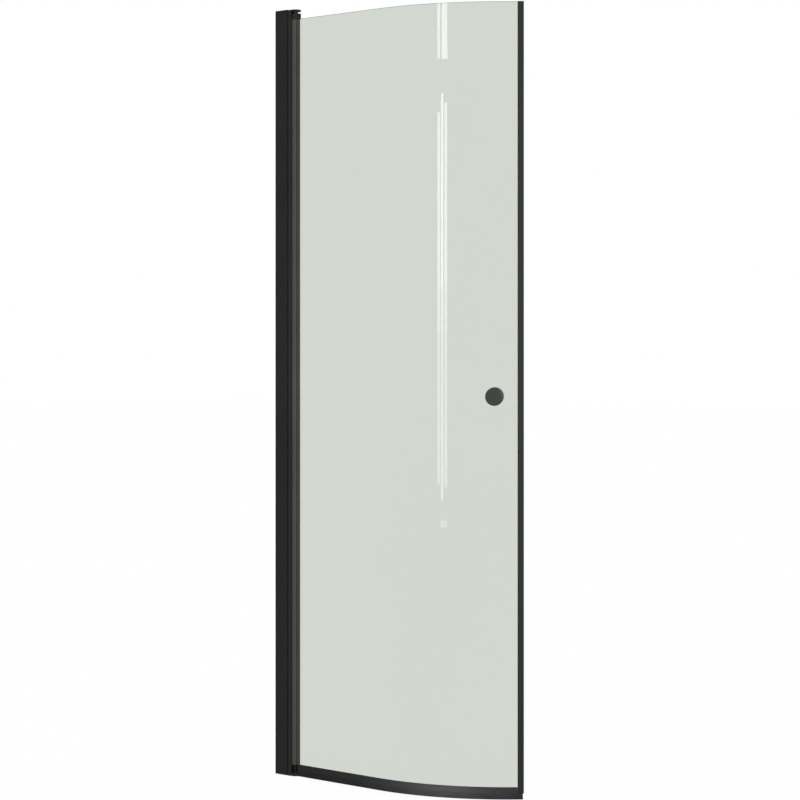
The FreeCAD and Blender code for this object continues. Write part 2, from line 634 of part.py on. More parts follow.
def knob_rod(radius, d0, d1):
    """A cylinder on the knob's axis, between two distances out from the middle of the glass."""
    return on_knob_axis(Part.makeCylinder(radius, d1 - d0, FreeCAD.Vector(0, 0, d0)))


def glass_drum(radius):
    """An upright cylinder about the centre of the bend, to fit a washer to the bent glass."""
    return rod(BEND_START, BEND_RADIUS, radius, KNOB_HEIGHT - KNOB_RADIUS, KNOB_HEIGHT + KNOB_RADIUS)


# Glass

def glass_panel():
    """The bent, toughened pane, with one hole for the knob."""
    pane = even_band(GLASS_HALF, GLASS_START, GLASS_END, GLASS_BOTTOM, GLASS_TOP)
    return pane.cut(knob_rod(KNOB_HOLE_RADIUS, -GLASS_THICKNESS, GLASS_THICKNESS))


# Bottom rail

def bottom_rail():
    """The curved extrusion under the glass, with a T-shaped rib for the sweep."""
    start = RAIL_BODY_START
    channel = even_band(RAIL_HALF, start, RAIL_END, RAIL_SEAT, RAIL_TOP)
    top_edges = [edge for edge in channel.Edges if edge.BoundBox.ZMin > RAIL_TOP - SEAM]
    long_edges = [edge for edge in top_edges if edge.Length > 2 * RAIL_HALF + SEAM]
    channel = channel.makeFillet(RAIL_ROUND, long_edges)
    slot = even_band(SLOT_HALF, start, RAIL_END, RAIL_SEAT + RAIL_WEB, RAIL_TOP)
    return joined([channel.cut(slot)] + sweep_rib(0, start, RAIL_END))


def sweep_rib(clearance, start, end):
    """The T-shaped rib under the rail, or with a clearance the groove that takes it."""
    neck_bottom = RAIL_SEAT - RIB_NECK_HEIGHT
    head_bottom = neck_bottom - RIB_HEAD_HEIGHT
    neck = even_band(RIB_NECK_HALF + clearance, start, end, neck_bottom, RAIL_SEAT)
    head = even_band(RIB_HEAD_HALF + clearance, start, end, head_bottom - clearance, neck_bottom + clearance)
    return [neck, head]


def rail_glass_gasket():
    """The U-shaped rubber between the rail and the foot of the glass."""
    start = RAIL_BODY_START
    bottom = RAIL_SEAT + RAIL_WEB
    strip = even_band(SLOT_HALF - STATIC_FIT, start, RAIL_END, bottom, RAIL_TOP)
    return strip.cut(even_band(GLASS_HALF + STATIC_FIT, start, RAIL_END, GLASS_BOTTOM - STATIC_FIT, RAIL_TOP))


def bottom_sweep():
    """The rubber sweep: a body hung on the rail's rib and two fins down to the floor."""
    start = RAIL_BODY_START
    body = even_band(RAIL_HALF, start, SWEEP_END, SWEEP_BODY_BOTTOM, RAIL_SEAT)
    body = body.cut(sweep_rib(STATIC_FIT, start, SWEEP_END))
    outer = RAIL_HALF - SWEEP_FIN_INSET
    inner = outer - SWEEP_FIN
    fins = [band(side * inner, side * outer, start, SWEEP_END, SWEEP_CLEARANCE, SWEEP_BODY_BOTTOM)
            for side in (-1, 1)]
    return joined([body] + fins)


def rail_hinge_end_cap():
    """The plate that closes the rail and the sweep beside the hinge."""
    plate = even_band(RAIL_HALF, RAIL_START, RAIL_BODY_START, SWEEP_CLEARANCE, RAIL_TOP)
    slot_bottom = GLASS_BOTTOM - STATIC_FIT
    return plate.cut(even_band(GLASS_HALF + STATIC_FIT, RAIL_START, RAIL_BODY_START, slot_bottom, RAIL_TOP))


def rail_closing_end_cap():
    """The plate that closes the sweep under the closing edge."""
    return even_band(RAIL_HALF, SWEEP_END, SWEEP_CAP_END, SWEEP_CLEARANCE, RAIL_SEAT)


# Closing edge

def closing_profile():
    """The U-shaped extrusion on the free edge of the glass, with a clip groove."""
    bottom, top = CLOSING_BOTTOM, CLOSING_TOP
    bar = even_band(CLOSING_HALF, CLOSING_MOUTH, CLOSING_FACE, bottom, top)
    slot = even_band(SLOT_HALF, CLOSING_MOUTH, CLOSING_FLOOR, bottom, top)
    groove = even_band(CLIP_HALF + STATIC_FIT, CLOSING_FACE - CLIP_DEPTH, CLOSING_FACE, bottom, top)
    return bar.cut([slot, groove])


def closing_glass_gasket():
    """The U-shaped rubber between the closing profile and the glass."""
    bottom, top = CLOSING_BOTTOM, CLOSING_TOP
    strip = even_band(SLOT_HALF - STATIC_FIT, CLOSING_MOUTH, CLOSING_FLOOR, bottom, top)
    return strip.cut(even_band(GLASS_HALF + STATIC_FIT, CLOSING_MOUTH, GLASS_END + STATIC_FIT, bottom, top))


def closing_end(z0, z1):
    """A cap across the closing profile and the magnet strip, with a slot for the glass."""
    cap = even_band(CLOSING_HALF, CLOSING_MOUTH, MAGNET_FACE - STATIC_FIT, z0, z1)
    slot_bottom = max(z0, GLASS_BOTTOM - STATIC_FIT)
    return cap.cut(even_band(GLASS_HALF + STATIC_FIT, CLOSING_MOUTH, GLASS_END + STATIC_FIT, slot_bottom, z1))


def closing_profile_top_cap():
    """The cap on top of the closing edge."""
    return closing_end(CLOSING_TOP, GLASS_TOP)


def closing_profile_bottom_cap():
    """The cap at the foot of the closing edge, just above the sweep."""
    return closing_end(CLOSING_FOOT, CLOSING_BOTTOM)


def magnet_carrier():
    """The soft strip that clips into the closing profile and holds the magnet."""
    bottom, top = CLOSING_BOTTOM, CLOSING_TOP
    strip = even_band(MAGNET_HALF, CLOSING_FACE, MAGNET_FACE, bottom, top)
    rib = even_band(CLIP_HALF, CLOSING_FACE - CLIP_DEPTH + STATIC_FIT, CLOSING_FACE, bottom, top)
    hollow = even_band(MAGNET_HALF - MAGNET_SKIN, CLOSING_FACE + MAGNET_SKIN, MAGNET_FACE - MAGNET_SKIN,
                       bottom, top)
    return joined([strip, rib]).cut(hollow)


def magnet_bar():
    """The magnet inside the soft strip."""
    start = CLOSING_FACE + MAGNET_SKIN + STATIC_FIT
    end = MAGNET_FACE - MAGNET_SKIN - STATIC_FIT
    return even_band(MAGNET_HALF - MAGNET_SKIN - STATIC_FIT, start, end, CLOSING_BOTTOM, CLOSING_TOP)


# Knob

def knob_half():
    """One half of the knob, along Z from its seat: a rounded drum on a narrower foot."""
    drum_length = KNOB_LENGTH - KNOB_FOOT_HEIGHT
    drum = Part.makeCylinder(KNOB_RADIUS, drum_length, FreeCAD.Vector(0, 0, KNOB_FOOT_HEIGHT))
    drum = rounded_rims(drum, KNOB_ROUND, lambda point: True)
    foot = Part.makeCylinder(KNOB_FOOT_RADIUS, KNOB_FOOT_HEIGHT)
    hole = Part.makeCylinder(KNOB_BOLT_RADIUS + STATIC_FIT, KNOB_BOLT_DEPTH + STATIC_FIT)
    half = joined([drum, foot]).cut(hole)
    half.translate(FreeCAD.Vector(0, 0, KNOB_SEAT))
    return half


def outer_knob():
    """The half of the knob on the outside of the door."""
    return on_knob_axis(knob_half())


def grub_rod(radius, length):
    """A cylinder straight down from the bolt's axis, inside the inner half of the knob."""
    depth = KNOB_SEAT + KNOB_BOLT_DEPTH / 2
    centre = knob_placement().multVec(FreeCAD.Vector(0, 0, -depth))
    return Part.makeCylinder(radius, length, centre, FreeCAD.Vector(0, 0, -1))


def inner_knob():
    """The half of the knob on the inside, with a hole below for its grub screw."""
    half = knob_half()
    half.rotate(FreeCAD.Vector(), FreeCAD.Vector(1, 0, 0), 180)
    return on_knob_axis(half).cut(grub_rod(GRUB_RADIUS + STATIC_FIT, KNOB_RADIUS))


def knob_grub_screw():
    """The screw that locks the inner half of the knob on the bolt."""
    end = KNOB_BOLT_RADIUS + GRUB_LENGTH
    screw = grub_rod(GRUB_RADIUS, end)
    socket = grub_rod(GRUB_SOCKET_RADIUS, end).cut(grub_rod(GRUB_RADIUS, end - GRUB_SOCKET_DEPTH))
    reach = KNOB_SEAT + KNOB_BOLT_DEPTH
    return screw.cut([socket, knob_rod(KNOB_BOLT_RADIUS + STATIC_FIT, -reach, reach)])


def knob_bolt():
    """The threaded bolt that joins the two halves through the glass."""
    reach = KNOB_SEAT + KNOB_BOLT_DEPTH
    return knob_rod(KNOB_BOLT_RADIUS, -reach, reach)


def knob_glass_bush():
    """The sleeve that keeps the bolt off the glass."""
    half = GLASS_HALF - STATIC_FIT
    sleeve = knob_rod(KNOB_HOLE_RADIUS - STATIC_FIT, -half, half)
    return sleeve.cut(knob_rod(KNOB_BOLT_RADIUS + STATIC_FIT, -half, half))


def washer_blank(d0, d1):
    """A flat ring round the bolt, before it is fitted to the glass."""
    return knob_rod(KNOB_WASHER_RADIUS, d0, d1).cut(knob_rod(KNOB_BOLT_RADIUS + STATIC_FIT, d0, d1))


def outer_knob_washer():
    """The soft washer outside, hollowed to the bend of the glass."""
    return washer_blank(0, KNOB_SEAT).cut(glass_drum(BEND_RADIUS + GLASS_HALF + STATIC_FIT))


def inner_knob_washer():
    """The soft washer inside, crowned to the bend of the glass."""
    return washer_blank(-KNOB_SEAT, 0).common(glass_drum(BEND_RADIUS - GLASS_HALF - STATIC_FIT))


PIECES = [
    wall_profile, wall_profile_top_cap, lock_screws, lock_nuts, lock_screw_covers,
    hinge_post, post_gap_seal, post_top_cap, post_bottom_cap, post_cap_screws, lower_pivot_pin, lower_cam,
    upper_pivot_pin,
    door_hinge_profile, door_top_cap, cam_follower, hinge_glass_gasket, glass_panel,
    bottom_rail, rail_glass_gasket, bottom_sweep, rail_hinge_end_cap, rail_closing_end_cap,
    closing_profile, closing_glass_gasket, closing_profile_top_cap, closing_profile_bottom_cap,
    magnet_carrier, magnet_bar,
    outer_knob, inner_knob, knob_grub_screw, knob_bolt, knob_glass_bush, outer_knob_washer, inner_knob_washer,
]


def main():
    """Builds every piece and writes it under its own name."""
    os.makedirs("parts", exist_ok=True)
    for piece in PIECES:
        shape = piece()
        name = piece.__name__
        print(name, "solids", len(shape.Solids), "valid", shape.isValid(), "volume", round(shape.Volume, 1))
        shape.exportStep(os.path.join("parts", name + ".step"))


main()
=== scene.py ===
import json
import math

import bmesh
import bpy
import numpy as np
from bpy.props import FloatProperty, FloatVectorProperty, PointerProperty
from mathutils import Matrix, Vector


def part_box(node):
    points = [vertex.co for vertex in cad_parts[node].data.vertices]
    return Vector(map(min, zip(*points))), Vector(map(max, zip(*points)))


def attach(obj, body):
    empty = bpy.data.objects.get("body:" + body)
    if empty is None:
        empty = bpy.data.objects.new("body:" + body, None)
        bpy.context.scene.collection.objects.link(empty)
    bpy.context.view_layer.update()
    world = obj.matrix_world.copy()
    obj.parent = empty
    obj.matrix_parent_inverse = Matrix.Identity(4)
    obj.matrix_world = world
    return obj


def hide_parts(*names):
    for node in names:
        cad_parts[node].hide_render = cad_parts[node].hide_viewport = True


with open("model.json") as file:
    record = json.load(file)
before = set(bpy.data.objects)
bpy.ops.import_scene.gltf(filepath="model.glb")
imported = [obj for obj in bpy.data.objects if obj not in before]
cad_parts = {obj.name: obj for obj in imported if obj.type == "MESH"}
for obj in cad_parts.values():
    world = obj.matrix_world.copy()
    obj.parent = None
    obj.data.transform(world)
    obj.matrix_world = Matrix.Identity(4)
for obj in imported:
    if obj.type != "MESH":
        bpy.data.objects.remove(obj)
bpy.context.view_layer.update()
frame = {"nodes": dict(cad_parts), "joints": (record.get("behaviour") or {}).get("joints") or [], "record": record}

bl_info = {
    "name": "Curved shower door",
    "version": (1, 0, 0),
    "blender": (4, 5, 0),
    "location": "View3D > Sidebar > Shower door",
    "description": "Dresses the packed frame of a curved, hinged shower door and sets its studio",
    "category": "Object",
}

SLOT_OF_NODE = {part["node"]: part["material_slot"] for part in frame["record"]["subparts"]}
BODY_OF_NODE = {
    node: body for body, nodes in frame["record"]["behaviour"]["bodies"].items() for node in nodes}
PIVOT = np.array(next(joint for joint in frame["joints"] if joint["name"] == "door_swing")["pos_m"][:2])

# Boxes of the frame and sizes that several pieces share. Every size of the door is in metres
GLASS_LOW, GLASS_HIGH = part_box("glass_panel")
RAIL_LOW, RAIL_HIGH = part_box("bottom_rail")
SWEEP_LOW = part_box("bottom_sweep")[0]
WALL_LOW, WALL_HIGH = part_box("wall_profile")
FIT = 0.00005
OVERCUT = 0.002
LIP_ROUND = 0.0008
GASKET_SIDE = 0.001
GASKET_WEB = 0.0012
GASKET_TIP = 0.0004
CAP_PLUG_SINK = 0.001


# Settings

class DoorSizes(bpy.types.PropertyGroup):
    """Sizes of the dressed pieces."""

    bend_start: FloatProperty(
        name="Bend start", description="Straight length of the door from the wall to the bend",
        default=0.340, unit="LENGTH")
    bend_radius: FloatProperty(
        name="Bend radius", description="Radius of the bend at the middle of the glass",
        default=0.450, unit="LENGTH")
    bend_angle: FloatProperty(
        name="Bend angle", description="How far the door turns from the wall to its free edge",
        default=math.radians(45), subtype="ANGLE")
    glass: FloatProperty(
        name="Glass", description="Thickness of the pane", default=0.006, unit="LENGTH")
    arris: FloatProperty(
        name="Arris", description="Ground edge of the pane", default=0.0008, unit="LENGTH")
    edge: FloatProperty(
        name="Edge", description="Broken edge of cut profiles", default=0.0003, unit="LENGTH")
    cap_edge: FloatProperty(
        name="Cap edge", description="Rounded edge of moulded caps", default=0.0006, unit="LENGTH")
    shadow_line: FloatProperty(
        name="Shadow line", description="Depth of the fine groove along the wall profile",
        default=0.0004, unit="LENGTH")


class DoorColours(bpy.types.PropertyGroup):
    """Colours of the finishes, in linear light."""

    coat: FloatVectorProperty(
        name="Coat", description="Powder coat on the profiles", default=(0.010, 0.010, 0.0102),
        subtype="COLOR", min=0, max=1)
    # Painted light: a lighter copy of the coat, standing in for the light that the hinge barrel catches
    lit_hinge_coat: FloatVectorProperty(
        name="Hinge coat", description="The greyer coat of the door's hinge profile",
        default=(0.0375, 0.0387, 0.033), subtype="COLOR", min=0, max=1)
    plastic: FloatVectorProperty(
        name="Plastic", description="Moulded caps and the skin of the magnet strip",
        default=(0.010, 0.010, 0.0103), subtype="COLOR", min=0, max=1)
    # Painted shade: darker than the plastic, so the cams under the barrel read as in shadow
    shaded_bearing: FloatVectorProperty(
        name="Bearing", description="Cams and bushes", default=(0.006, 0.006, 0.0064),
        subtype="COLOR", min=0, max=1)
    rubber: FloatVectorProperty(
        name="Rubber", description="Gaskets and sweep", default=(0.0075, 0.0075, 0.0077),
        subtype="COLOR", min=0, max=1)
    magnet: FloatVectorProperty(
        name="Magnet", description="Magnet-filled rubber", default=(0.030, 0.027, 0.025),
        subtype="COLOR", min=0, max=1)
    steel: FloatVectorProperty(
        name="Steel", description="Pins and screws", default=(0.56, 0.56, 0.55),
        subtype="COLOR", min=0, max=1)
    pane: FloatVectorProperty(
        name="Pane", description="What the glass lets through", default=(0.631, 0.670, 0.609),
        subtype="COLOR", min=0, max=1)
    pane_edge: FloatVectorProperty(
        name="Pane edge", description="The deeper tint of the ground edges", default=(0.20, 0.36, 0.28),
        subtype="COLOR", min=0, max=1)
    knob: FloatVectorProperty(
        name="Knob", description="Satin coat of the knob", default=(0.0225, 0.0232, 0.0215),
        subtype="COLOR", min=0, max=1)
    floor: FloatVectorProperty(
        name="Floor", description="Studio floor", default=(0.92, 0.92, 0.92),
        subtype="COLOR", min=0, max=1)


class StudioSettings(bpy.types.PropertyGroup):
    """Camera and lights."""

    camera_place: FloatVectorProperty(
        name="Camera", description="Where the camera stands", default=(4.0704, -4.0973, 1.0655),
        subtype="TRANSLATION")
    camera_turn: FloatProperty(
        name="Camera turn", description="How far the level camera is turned from looking along Y",
        default=math.radians(41.816), subtype="ANGLE")
    lens: FloatProperty(name="Lens", description="Focal length in millimetres", default=103.937)
    horizon_shift: FloatProperty(
        name="Horizon shift", description="Lens shift that keeps the uprights parallel", default=-0.0675)
    ambient: FloatProperty(
        name="Ambient", description="Strength of the even studio light", default=0.75)
    floor_glow: FloatProperty(
        name="Floor glow", description="Share of plain white in the floor as the camera sees it",
        default=0.93, subtype="FACTOR", min=0, max=1)
    floor_white: FloatProperty(
        name="Floor white", description="Strength of that plain white", default=1.02)
    side_light: FloatProperty(
        name="Side light", description="Radiance of the wide box on the right", default=13.0)
    front_light: FloatProperty(
        name="Front light", description="Radiance of the tall box in front of the bend", default=3.0)
    low_light: FloatProperty(
        name="Low light", description="Radiance of the small box near the floor", default=60.0)


def sizes():
    """The sizes set for this scene."""
    return bpy.context.scene.shower_door_sizes


def colours():
    """The colours set for this scene."""
    return bpy.context.scene.shower_door_colours


def studio():
    """The camera and light settings of this scene."""
    return bpy.context.scene.shower_door_studio


# Shader maths

class Value:
    """A number in a node tree. Python's operators on it add Math nodes."""

    def __init__(self, finish, socket):
        self.finish = finish
        self.socket = socket

    def maths(self, operation, first, second):
        """One Math node on two numbers or sockets."""
        return self.finish.add("ShaderNodeMath", {"operation": operation}, {0: first, 1: second})

    def __add__(self, other):
        return self.maths("ADD", self, other)

    def __radd__(self, other):
        return self.maths("ADD", other, self)

    def __mul__(self, other):
        return self.maths("MULTIPLY", self, other)

    def __rmul__(self, other):
        return self.maths("MULTIPLY", other, self)


class Finish:
    """A node tree for one finish, with one method that adds any node to it."""

    NOISE_ROUGHNESS = 0.55

    def __init__(self, tree):
        self.tree = tree
        tree.nodes.clear()

    def add(self, kind, settings=None, sockets=None, output=0):
        """Adds a node: its settings first, then the values or links of its sockets."""
        node = self.tree.nodes.new(kind)
        for name, value in (settings or {}).items():
            setattr(node, name, value)
        for name, value in (sockets or {}).items():
            if isinstance(value, Value):
                self.tree.links.new(value.socket, node.inputs[name])
            else:
                node.inputs[name].default_value = value
        return Value(self, node.outputs[output]) if node.outputs else node

    def place(self, stretch=(1, 1, 1)):
        """The object's own coordinates, in metres, squeezed along each axis."""
        spot = self.add("ShaderNodeTexCoord", output="Object")
        return self.add("ShaderNodeMapping", None, {"Vector": spot, "Scale": stretch})

    def noise(self, scale, detail=2.0, stretch=(1, 1, 1)):
        """Soft noise around one half, with grains of about 1 / scale metres."""
        return self.add("ShaderNodeTexNoise", None, {
            "Vector": self.place(stretch), "Scale": scale, "Detail": detail,
            "Roughness": self.NOISE_ROUGHNESS})

    def pebbles(self, scale):
        """Distance to the nearest of many scattered points, for a moulded grain."""
        return self.add("ShaderNodeTexVoronoi", None, {"Vector": self.place(), "Scale": scale})

    def mix(self, share, first, second):
        """A colour between two others."""
        ends = [value if isinstance(value, Value) else (*value, 1) for value in (first, second)]
        sockets = {0: share, 6: ends[0], 7: ends[1]}
        return self.add("ShaderNodeMix", {"data_type": "RGBA"}, sockets, output=2)

    def shades(self, share, colour, darkest, lightest):
        """A colour that drifts between a darker and a lighter shade of itself."""
        ends = [tuple(min(1.0, part * shade) for part in colour) for shade in (darkest, lightest)]
        return self.mix(share, *ends)

    def bump(self, height, depth, strength):
        """A normal that follows a height of up to depth metres."""
        sockets = {"Height": height, "Distance": depth, "Strength": strength}
        return self.add("ShaderNodeBump", None, sockets)

    def shader(self, **sockets):
        """A Principled shader. Underscores in the names stand for spaces."""
        named = {name.replace("_", " "): value for name, value in sockets.items()}
        return self.add("ShaderNodeBsdfPrincipled", None, named)

    def show(self, surface):
        """Ends the tree in its output."""
        self.add("ShaderNodeOutputMaterial", None, {"Surface": surface})


# Finishes

EDGE_MARK = "ground_edge"


def powder_coat(finish, colour):
    """Fine matt powder coat: a soft orange peel, slight clouds of colour and sheen."""
    clouds = finish.noise(scale=9.0, detail=3.0)
    peel = finish.noise(scale=1500.0)
    finish.show(finish.shader(
        Base_Color=finish.shades(clouds, colour, darkest=0.8, lightest=1.2),
        Roughness=0.42 + 0.08 * clouds + 0.06 * peel, Specular_IOR_Level=0.07,
        Normal=finish.bump(peel, depth=0.00006, strength=0.6)))


def coat_finish(finish):
    """The black coat of the wall side, the rail and the closing edge."""
    powder_coat(finish, colours().coat)


def lit_hinge_coat_finish(finish):
    """A lighter copy of the black coat for the door's hinge profile: painted light, for the brighter look of the
    barrel in the side light.
    """
    powder_coat(finish, colours().lit_hinge_coat)


def plastic_finish(finish):
    """Moulded plastic with a fine spark-eroded grain."""
    clouds = finish.noise(scale=30.0)
    finish.show(finish.shader(
        Base_Color=finish.shades(clouds, colours().plastic, darkest=0.8, lightest=1.25),
        Roughness=0.48 + 0.12 * clouds, Specular_IOR_Level=0.08,
        Normal=finish.bump(finish.pebbles(scale=1900.0), depth=0.00008, strength=0.5)))


def shaded_bearing_finish(finish):
    """Smooth cam plastic with faint turning lines, kept darker and duller than the caps: painted shade, so the
    cams under the barrel read as in shadow.
    """
    lines = finish.noise(scale=900.0, detail=1.0, stretch=(0.15, 0.15, 1.0))
    finish.show(finish.shader(
        Base_Color=finish.shades(lines, colours().shaded_bearing, darkest=0.85, lightest=1.15),
        Roughness=0.40 + 0.12 * lines, Specular_IOR_Level=0.05,
        Normal=finish.bump(lines, depth=0.00004, strength=0.4)))


def rubber_finish(finish):
    """Soft matt rubber with a fine skin and a pale bloom in patches."""
    bloom = finish.noise(scale=40.0, detail=4.0)
    skin = finish.noise(scale=2200.0)
    finish.show(finish.shader(
        Base_Color=finish.shades(bloom, colours().rubber, darkest=0.7, lightest=1.6),
        Roughness=0.46 + 0.14 * bloom, Specular_IOR_Level=0.06,
        Normal=finish.bump(skin, depth=0.00006, strength=0.5)))


def magnet_skin_finish(finish):
    """Soft extruded plastic: lines drawn out along its length."""
    streaks = finish.noise(scale=1400.0, stretch=(1.0, 1.0, 0.01))
    finish.show(finish.shader(
        Base_Color=finish.shades(streaks, colours().plastic, darkest=0.8, lightest=1.3),
        Roughness=0.42 + 0.14 * streaks, Specular_IOR_Level=0.06,
        Normal=finish.bump(streaks, depth=0.00006, strength=0.5)))


def magnet_finish(finish):
    """Magnet-filled rubber, brown-black with fine specks."""
    specks = finish.noise(scale=3000.0, detail=3.0)
    finish.show(finish.shader(
        Base_Color=finish.shades(specks, colours().magnet, darkest=0.5, lightest=1.5),
        Roughness=0.55 + 0.2 * specks, Normal=finish.bump(specks, depth=0.00005, strength=0.5)))


def steel_finish(finish):
    """Turned steel: fine rings across the length, duller in patches."""
    rings = finish.noise(scale=2600.0, detail=1.0, stretch=(0.1, 0.1, 1.0))
    haze = finish.noise(scale=120.0, detail=3.0)
    finish.show(finish.shader(
        Base_Color=finish.shades(haze, colours().steel, darkest=0.85, lightest=1.1),
        Metallic=1.0, Roughness=0.22 + 0.12 * rings + 0.10 * haze,
        Normal=finish.bump(rings, depth=0.00003, strength=0.5)))


def pane_finish(finish):
    """Clear toughened glass: a tint that deepens at the ground edges, and lamps shine through it."""
    edge = finish.add("ShaderNodeAttribute", {"attribute_name": EDGE_MARK}, output="Fac")
    tint = finish.shades(finish.noise(scale=3.0), colours().pane, darkest=0.99, lightest=1.01)
    glass = finish.shader(
        Base_Color=finish.mix(edge, tint, tuple(colours().pane_edge)),
        Roughness=0.01 + 0.16 * edge, IOR=1.5, Transmission_Weight=1.0)
    lamp_ray = finish.add("ShaderNodeLightPath", output="Is Shadow Ray")
    clear = finish.add("ShaderNodeBsdfTransparent", None, {"Color": (*colours().pane, 1)})
    finish.show(finish.add("ShaderNodeMixShader", None, {0: lamp_ray, 1: glass, 2: clear}))


def knob_finish(finish):
    """Satin black coat over turned metal, with the faintest turning marks."""
    marks = finish.noise(scale=700.0)
    clouds = finish.noise(scale=25.0)
    finish.show(finish.shader(
        Base_Color=finish.shades(clouds, colours().knob, darkest=0.85, lightest=1.2),
        Roughness=0.20 + 0.08 * marks + 0.05 * clouds, Specular_IOR_Level=0.10,
        Normal=finish.bump(marks, depth=0.00003, strength=0.4)))


SLOT_FINISHES = {
    "black_aluminium": coat_finish,
    "black_plastic": plastic_finish,
    "cam_plastic": shaded_bearing_finish,
    "seal_rubber": rubber_finish,
    "magnet_skin": magnet_skin_finish,
    "magnet": magnet_finish,
    "steel": steel_finish,
    "glass": pane_finish,
    "knob_black": knob_finish,
}
# Nodes whose finish differs from their slot's: the hinge profile gets a lighter copy of the black coat, which is
# painted light on the barrel
NODE_FINISHES = {"door_hinge_profile": lit_hinge_coat_finish}


def material_named(name, write):
    """The material of a name. A function writes its nodes the first time that it is asked for."""
    material = bpy.data.materials.get(name)
    if material is None:
        material = bpy.data.materials.new(name)
        material.use_nodes = True
        write(Finish(material.node_tree))
    return material


def coat_piece(piece, node):
    """Gives a piece the finish of a frame node in the place of what it had."""
    key = node if node in NODE_FINISHES else SLOT_OF_NODE[node]
    write = {**SLOT_FINISHES, **NODE_FINISHES}[key]
    piece.data.materials.clear()
    piece.data.materials.append(material_named(key + "_finish", write))


def dress(*nodes):
    """Gives carried-over frame pieces their finish."""
    for node in nodes:
        coat_piece(frame["nodes"][node], node)


# Meshes

SHARP_ANGLE = math.radians(25)
SAME_POINT = 1e-7
EDGE_STEPS = 6
ROD_STEPS = 48
BEND_STEP = 0.006
OUT, INWARD, UP = np.eye(3)


def mesh_piece(name, points, faces):
    """A closed mesh at the origin, its faces turned outwards and points without a face left out."""
    mesh = bpy.data.meshes.new(name)
    mesh.from_pydata(np.asarray(points).reshape(-1, 3).tolist(), [], faces)
    shape = bmesh.new()
    shape.from_mesh(mesh)
    bmesh.ops.delete(shape, geom=[vert for vert in shape.verts if not vert.link_faces], context="VERTS")
    bmesh.ops.recalc_face_normals(shape, faces=shape.faces)
    shape.to_mesh(mesh)
    shape.free()
    piece = bpy.data.objects.new(name, smoothed(mesh))
    bpy.context.scene.collection.objects.link(piece)
    return piece


def smoothed(mesh):
    """Shades a mesh smoothly, apart from its sharp edges."""
    mesh.shade_smooth()
    mesh.set_sharp_from_angle(angle=SHARP_ANGLE)
    return mesh


def stand_for(piece, *nodes):
    """Puts a new piece in the place of frame nodes: it rides with the same body, hides them and takes the first
    node's finish.
    """
    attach(piece, BODY_OF_NODE[nodes[0]])
    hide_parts(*nodes)
    coat_piece(piece, nodes[0])
    normals = piece.modifiers.new("even_normals", "WEIGHTED_NORMAL")
    normals.keep_sharp = True
    return piece


def bands(loops):
    """Four-sided faces between neighbouring closed loops of point numbers (loop, point)."""
    after = np.roll(loops, -1, axis=1)
    return np.stack([loops[:-1], after[:-1], after[1:], loops[1:]], axis=-1).reshape(-1, 4)


def loft(name, rings):
    """A closed piece through an array of rings (ring, point, xyz), with a face across each end."""
    index = np.arange(rings[..., 0].size).reshape(rings.shape[:2])
    ends = [index[0, ::-1].tolist(), index[-1].tolist()]
    return mesh_piece(name, rings, bands(index).tolist() + ends)


def unit(vectors):
    """Vectors of length one."""
    return vectors / np.linalg.norm(vectors, axis=-1, keepdims=True)


def joined(runs):
    """Runs of corners, each an x, a y and a radius, as one array."""
    return np.concatenate([np.reshape(run, (-1, 3)) for run in runs])


def outline(*runs):
    """An anticlockwise outline from runs of corners, each an x, a y and a radius.

    The arc of a corner touches its two edges at radius / tan(half the corner's angle) from the
    corner, about a centre that lies radius / sin(half the angle) along the bisector.
    """
    corners, radii = np.split(joined(runs), [2], axis=1)
    before = unit(np.roll(corners, 1, axis=0) - corners)
    after = unit(np.roll(corners, -1, axis=0) - corners)
    half = np.arccos(np.clip((before * after).sum(1, keepdims=True), -1, 1)) / 2
    centre = corners + unit(before + after) * radii / np.sin(half)
    start = corners + before * radii / np.tan(half) - centre
    end = corners + after * radii / np.tan(half) - centre
    first = np.arctan2(start[:, 1:], start[:, :1])
    turn = np.arctan2(end[:, 1:], end[:, :1]) - first
    turn = (turn + np.pi) % (2 * np.pi) - np.pi
    angle = first + turn * np.linspace(0, 1, EDGE_STEPS)
    arcs = np.stack([np.cos(angle), np.sin(angle)], axis=-1) * radii[:, :, None] + centre[:, None]
    points = arcs.reshape(-1, 2)
    fresh = np.linalg.norm(points - np.roll(points, 1, axis=0), axis=1) > SAME_POINT
    return points[fresh]


def even_outline(*runs):
    """An outline that is even about y = 0, from the runs of its lower half."""
    lower = joined(runs)
    return outline(lower, lower[::-1] * (1, -1, 1))


def even_section(*runs):
    """A section that is even about x = 0, from the runs of its right half."""
    right = joined(runs)
    return outline(right, right[::-1] * (-1, 1, 1))


def box_outline(x0, x1, y0, y1, radius=0.0):
    """The outline of a rectangle with rounded corners."""
    return outline([(x0, y0, radius), (x1, y0, radius), (x1, y1, radius), (x0, y1, radius)])


def arc(centre, radius, first, last, steps=24):
    """Points of a circle from one angle to another, in degrees, as corners with no radius."""
    angle = np.radians(np.linspace(first, last, steps))
    x, y = centre
    return np.stack([x + radius * np.cos(angle), y + radius * np.sin(angle), np.zeros(steps)], axis=1)


def angle_at(radius, y):
    """The angle, in degrees, of the point of a circle at a height y on its right side."""
    return math.degrees(math.asin(y / radius))


def inset(shape, depths):
    """Copies of an anticlockwise outline, each moved inwards by a depth along its mitred normals."""
    before = unit(shape - np.roll(shape, 1, axis=0))
    after = unit(np.roll(shape, -1, axis=0) - shape)
    first = np.stack([-before[:, 1], before[:, 0]], axis=1)
    second = np.stack([-after[:, 1], after[:, 0]], axis=1)
    mitre = (first + second) / (1 + (first * second).sum(1, keepdims=True))
    return shape + np.asarray(depths)[:, None, None] * mitre


